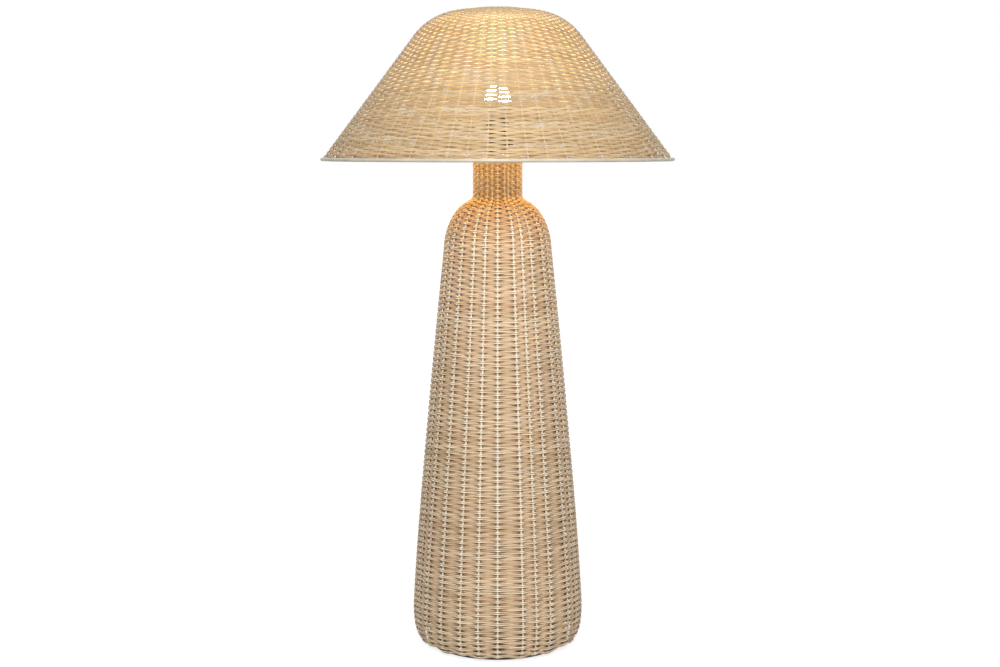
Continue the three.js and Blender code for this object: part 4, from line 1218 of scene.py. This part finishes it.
low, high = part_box("lampholder_cap")
holder_radius = high.x
flare_top = low.z + HOLDER_BOSS_HEIGHT + HOLDER_FLARE_HEIGHT
holder_cap = rounded([
    [NIPPLE_HOLE, low.z],
    [HOLDER_BOSS_RADIUS, low.z],
    [HOLDER_BOSS_RADIUS, low.z + HOLDER_BOSS_HEIGHT],
    [holder_radius, flare_top],
    [holder_radius, high.z],
    [holder_radius - HOLDER_WALL, high.z],
    [holder_radius - HOLDER_WALL, flare_top + HOLDER_WALL],
    [HOLDER_BOSS_RADIUS, low.z + HOLDER_BOSS_HEIGHT + HOLDER_WALL],
    [NIPPLE_HOLE, low.z + HOLDER_BOSS_HEIGHT + HOLDER_WALL],
], HOLDER_CAP_EDGE)
add_piece("holder_cap", turned(holder_cap), "holder_plastic", "stand", ["lampholder_cap"])

# %% [markdown]
# ## Lampholder's body
# The body has a shoulder, on which the shade's ring rests, and above it a threaded barrel. The
# thread is a dip of the barrel's radius, so the profile needs many points up the barrel.

# %% Body of the lampholder
HOLDER_SHOULDER_THICKNESS = 2 * MM
HOLDER_SHOULDER_RADIUS = 23 * MM
HOLDER_BODY_EDGE = 0.7 * MM
BARREL_RADIUS = 19 * MM
BARREL_CHAMFER = 0.4 * MM
BARREL_STEPS = 90
THREAD_DEPTH = 0.5 * MM
THREAD_PITCH = 2.2 * MM
SHELL_BORE = 15 * MM

low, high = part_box("lampholder_body")
socket_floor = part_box("socket_shell")[0].z
ring_low, ring_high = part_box("fitter_ring")
shoulder_top = ring_low.z - WEAVE_GAP
shoulder_bottom = shoulder_top - HOLDER_SHOULDER_THICKNESS


def barrel_thread(radius, height, turn):
    """Thread: the barrel's outside dips by depth * (1 + cos(2 pi z / pitch - turn)) / 2."""
    on_barrel = (np.abs(radius - BARREL_RADIUS) < 0.1 * MM) & (height > shoulder_top + THREAD_PITCH)
    wave = 0.5 + 0.5 * np.cos(2 * np.pi * height / THREAD_PITCH - turn)
    return radius - on_barrel * THREAD_DEPTH * wave


barrel_side = np.linspace(high.z - THREAD_PITCH / 4, shoulder_top + THREAD_PITCH / 4, BARREL_STEPS)
outline_below = rounded([
    [holder_radius - HOLDER_WALL, low.z],
    [holder_radius, low.z],
    [holder_radius, shoulder_bottom],
    [HOLDER_SHOULDER_RADIUS, shoulder_bottom],
    [HOLDER_SHOULDER_RADIUS, shoulder_top],
    [BARREL_RADIUS, shoulder_top],
], HOLDER_BODY_EDGE, hollow=False)
barrel = np.stack([np.full(BARREL_STEPS, BARREL_RADIUS), barrel_side[::-1]], -1)
outline_above = np.array([
    [BARREL_RADIUS - BARREL_CHAMFER, high.z],
    [SHELL_BORE, high.z],
    [SHELL_BORE, socket_floor],
    [holder_radius - HOLDER_WALL, socket_floor],
])
holder_profile = np.concatenate([outline_below, barrel, outline_above])
print("Barrel's thread:", BARREL_STEPS, "points up")

# %% [markdown]
# ## Switch boss
# A short boss at the side of the body carries the switch's spindle. It is turned round the lamp's
# axis like the rest, and then laid on its side.

# %% Boss of the switch
KNOB_BOSS_RADIUS = 5 * MM
KNOB_BOSS_EDGE = 0.8 * MM

knob_low, knob_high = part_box("switch_knob")
switch_height = (knob_low.z + knob_high.z) / 2
boss_end = high.x


def sideways(shape, height):
    """A shape turned round +Z laid along +X: z becomes x, x becomes -z, at a height."""
    x, y, z = shape.points.T
    return Shape(np.stack([z, y, height - x], -1), shape.quads, shape.triangles)


boss_corners = block(0, KNOB_BOSS_RADIUS, holder_radius - HOLDER_WALL, boss_end)
boss_profile = rounded(boss_corners, KNOB_BOSS_EDGE, hollow=False)
boss = sideways(turned(boss_profile, sides=40, hollow=False), switch_height)
holder_body = joined([turned(holder_profile, swell=barrel_thread), boss])
add_piece("holder_body", holder_body, "holder_plastic", "stand", ["lampholder_body"])

# %% [markdown]
# ## Shade ring and switch knob
# Fingers turn both, so both are fluted. A flute is a dip of the radius that repeats round the
# turn, and it fades towards the axis, so that the middle stays round.

# %% Shade ring and switch knob
RING_FLUTES = 30
RING_FLUTE_DEPTH = 0.9 * MM
RING_BORE = 19.3 * MM
RING_EDGE = 1.2 * MM
KNOB_FLUTES = 14
KNOB_FLUTE_DEPTH = 0.6 * MM
KNOB_EDGE = 0.9 * MM
KNOB_END_SHARE = 0.9
SPINDLE_RADIUS = 2 * MM
BOSS_GAP = 0.3 * MM
FLUTED_SHARE = 0.2
STEPS_OF_A_FLUTE = 8

low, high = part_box("shade_ring")


def fluted(outside, flutes, depth):
    """Flutes: near the outside, the radius dips by the depth times (1 + cos(flutes * turn)) / 2."""
    def swell(radius, height, turn):
        share = np.clip((radius - (1 - FLUTED_SHARE) * outside) / (FLUTED_SHARE * outside), 0, 1)
        return radius - depth * share * (0.5 + 0.5 * np.cos(flutes * turn))
    return swell


ring_profile = rounded(block(RING_BORE, high.x, low.z, high.z), RING_EDGE)
ring_flutes = fluted(high.x, RING_FLUTES, RING_FLUTE_DEPTH)
shade_ring = turned(ring_profile, STEPS_OF_A_FLUTE * RING_FLUTES, swell=ring_flutes)
add_piece("clamp_ring", shade_ring, "holder_plastic", "stand", ["shade_ring"])

knob_radius = (knob_high.z - knob_low.z) / 2
knob_profile = rounded([
    [0, knob_low.x],
    [SPINDLE_RADIUS, knob_low.x],
    [SPINDLE_RADIUS, boss_end + BOSS_GAP],
    [knob_radius, boss_end + BOSS_GAP],
    [KNOB_END_SHARE * knob_radius, knob_high.x],
    [0, knob_high.x],
], KNOB_EDGE, hollow=False)
knob_flutes = fluted(knob_radius, KNOB_FLUTES, KNOB_FLUTE_DEPTH)
knob = turned(knob_profile, STEPS_OF_A_FLUTE * KNOB_FLUTES, hollow=False, swell=knob_flutes)
add_piece("fluted_knob", sideways(knob, switch_height), "holder_plastic", "switch", ["switch_knob"])

# %% [markdown]
# ## Cap of the bulb
# The bulb screws in by a thin steel cap whose thread is rolled into the sheet, so it shows on the
# outside and on the inside: both sides of the profile dip in the same places.

# %% Threaded cap of the bulb
CAP_WALL = 0.6 * MM
CAP_TAPER = 2.5 * MM
CAP_THREAD_PITCH = 3.63 * MM
CAP_THREAD_DEPTH = 0.7 * MM
CAP_STEPS = 60
INSULATOR_RADIUS = 10.8 * MM

low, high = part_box("bulb_cap")
cap_radius = high.x


def cap_thread(radius, height, turn):
    """Rolled thread: the sheet moves in by depth * (1 + cos(2 pi z / pitch - turn)) / 2."""
    on_thread = (height > low.z + CAP_TAPER) & (height < high.z - CAP_TAPER)
    wave = 0.5 + 0.5 * np.cos(2 * np.pi * height / CAP_THREAD_PITCH - turn)
    return radius - on_thread * CAP_THREAD_DEPTH * wave


cap_side = np.linspace(low.z + CAP_TAPER, high.z, CAP_STEPS)
cap_outside = np.stack([np.full(CAP_STEPS, cap_radius), cap_side], -1)
cap_inside = np.stack([np.full(CAP_STEPS, cap_radius - CAP_WALL), cap_side[::-1]], -1)
cap_ends = [[INSULATOR_RADIUS - CAP_WALL, low.z], [INSULATOR_RADIUS, low.z]]
cap_profile = np.concatenate([cap_outside, cap_inside, cap_ends])
add_piece("threaded_cap", turned(cap_profile, swell=cap_thread), "bulb_steel", "bulb", ["bulb_cap"])

# %% [markdown]
# ## Housing and dome
# A white housing flares from the cap to the milky dome. The flare is a smooth line through a few
# shares of its height and width, and the dome is a quarter of a curve a little fuller than a circle.

# %% Housing and dome of the bulb
HOUSING_WALL = 1.5 * MM
HOUSING_HEIGHT_SHARES = [0, 0.1, 0.3, 0.5, 0.7, 0.85, 1]
HOUSING_RADIUS_SHARES = [0, 0.05, 0.24, 0.5, 0.76, 0.91, 1]
HOUSING_WINDOW = 7
DOME_POWER = 2.3
DOME_STEPS = 28

low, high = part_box("bulb_housing")
housing_foot = cap_radius + WEAVE_GAP
housing_line = np.stack([
    housing_foot + (high.x - housing_foot) * np.array(HOUSING_RADIUS_SHARES),
    low.z + (high.z - low.z) * np.array(HOUSING_HEIGHT_SHARES),
], -1)
housing_section = section_of(smooth_line(housing_line, HOUSING_WINDOW))
housing_inside = housing_section.line - HOUSING_WALL * housing_section.outward
housing_profile = np.concatenate([housing_section.line, housing_inside[::-1]])
add_piece("bulb_shell", turned(housing_profile, sides=96), "bulb_white", "bulb", ["bulb_housing"])

turn = np.linspace(0, np.pi / 2, DOME_STEPS)
dome_profile = np.stack([
    dome_high.x * np.cos(turn) ** (2 / DOME_POWER),
    dome_low.z + (dome_high.z - dome_low.z) * np.sin(turn) ** (2 / DOME_POWER),
], -1)
dome_profile = np.concatenate([[[0, dome_low.z]], dome_profile])
dome_profile[-1, 0] = 0
dome_shape = turned(dome_profile, sides=96, hollow=False)
dome = add_piece("milky_dome", dome_shape, "bulb_glow", "bulb", ["bulb_dome"])
dome.visible_shadow = False

# %% [markdown]
# ## Fitter
# Three bent wires carry the shade: they run out from a flat ring on the lampholder to a hoop
# that is welded to the spokes. A bend is the mean of the path's points over a short window.

# %% Fitter
FITTER_WIRE = 4 * MM
FITTER_BORE = 19.6 * MM
FITTER_SHELF = 30 * MM
FITTER_RING_EDGE = 0.6 * MM
FITTER_ARMS = 3
ARM_BEND_WINDOW = 25
ARM_SKIP = 3

hoop_low, hoop_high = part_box("fitter_hoop")
fitter_hoop_radius = hoop_high.x - FITTER_WIRE / 2
fitter_hoop_height = (hoop_low.z + hoop_high.z) / 2
fitter_hoop = hoop(fitter_hoop_radius, fitter_hoop_height, FITTER_WIRE)
add_piece("carrying_hoop", fitter_hoop, "spoke_paint", "shade", ["fitter_hoop"])

ring_corners = block(FITTER_BORE, ring_high.x, ring_low.z, ring_high.z)
carrying_ring = turned(rounded(ring_corners, FITTER_RING_EDGE), sides=96)
add_piece("carrying_ring", carrying_ring, "spoke_paint", "shade", ["fitter_ring"])

arm_height = (ring_low.z + ring_high.z) / 2
arm_line = smooth_line([
    [ring_high.x - FITTER_WIRE, arm_height],
    [ring_high.x + FITTER_SHELF, arm_height],
    [fitter_hoop_radius, fitter_hoop_height],
], ARM_BEND_WINDOW)
arm = upright_wire(arm_line[::ARM_SKIP], FITTER_WIRE / 2, sides=12)
for number in range(FITTER_ARMS):
    arm_turn = np.array([2 * np.pi * (number + 0.5) / FITTER_ARMS])
    shape = copies_round(arm, arm_turn)
    add_piece(f"carrying_arm_{number + 1}", shape, "spoke_paint", "shade", [f"fitter_arm_{number + 1}"])

# %% [markdown]
# ## Crown
# The top of the shade is closed by a thin disc with one strand of rattan wound on it in a flat
# coil. A coil is a spiral: the radius grows by one strand in each turn.

# %% Crown coil
COIL_STRAND = 3.4 * MM
COIL_FILL = 0.98
COIL_FIRST_TURN = 0.6
COIL_STEPS = 48
COIL_SIDES = 8
COIL_TONE = 0.4
BOARD_THICKNESS = 1.5 * MM
BOARD_EDGE = 0.4 * MM

coil_height = disc_high.z - COIL_STRAND / 2
coil_turns = (disc_high.x - COIL_STRAND) / COIL_STRAND
coil_turn = np.linspace(COIL_FIRST_TURN * 2 * np.pi, coil_turns * 2 * np.pi, int(COIL_STEPS * coil_turns))
coil_radius = COIL_STRAND * coil_turn / (2 * np.pi) + COIL_STRAND / 2
coil_path = at_turn(np.stack([coil_radius, np.full(len(coil_turn), coil_height)], -1), coil_turn)
upwards = np.tile([0.0, 0.0, 1.0], (len(coil_path), 1))
coil_grid = carried_round(coil_path, upwards, COIL_STRAND / 2 * COIL_FILL, COIL_SIDES)
coil_share = np.abs(np.arange(COIL_SIDES) - COIL_SIDES / 2) / (COIL_SIDES / 2)
coil_run = length_along(coil_path)[:, None]
coil_along = with_ends(np.stack(np.broadcast_arrays(coil_run, coil_share, COIL_TONE), -1))
add_piece(
    "crown_coil", skin(coil_grid), "rattan_shade", "shade", ["crown_disc"],
    coil_along, np.zeros(len(coil_along)), STRAND_CREASE)

board_corners = block(0, disc_high.x, disc_low.z, disc_low.z + BOARD_THICKNESS)
board = turned(rounded(board_corners, BOARD_EDGE, hollow=False), sides=96, hollow=False)
add_piece("crown_board", board, "crown_wood", "shade", ["crown_disc"])

# %% [markdown]
# ## Grommet
# The lead of the real lamp passes through a rubber grommet low in the back of the wall. It is
# turned round the lamp's axis, and then laid down so that its axis points to the back.

# %% Grommet
GROMMET_NECK = 6 * MM
GROMMET_FLANGE = 2 * MM
GROMMET_EDGE = 0.8 * MM
LEAD_BORE = 2.8 * MM

low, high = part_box("cord_grommet")
grommet_radius = (high.z - low.z) / 2
grommet_height = (high.z + low.z) / 2
grommet_profile = rounded([
    [LEAD_BORE, low.y],
    [grommet_radius, low.y],
    [grommet_radius, low.y + GROMMET_FLANGE],
    [GROMMET_NECK, low.y + GROMMET_FLANGE],
    [GROMMET_NECK, high.y - GROMMET_FLANGE],
    [grommet_radius, high.y - GROMMET_FLANGE],
    [grommet_radius, high.y],
    [LEAD_BORE, high.y],
], GROMMET_EDGE)
grommet = turned(grommet_profile, sides=48)
x, y, z = grommet.points.T
grommet = facing_out(Shape(np.stack([x, z, grommet_height + y], -1), grommet.quads, grommet.triangles))
add_piece("rubber_grommet", grommet, "pad_rubber", "stand", ["cord_grommet"])
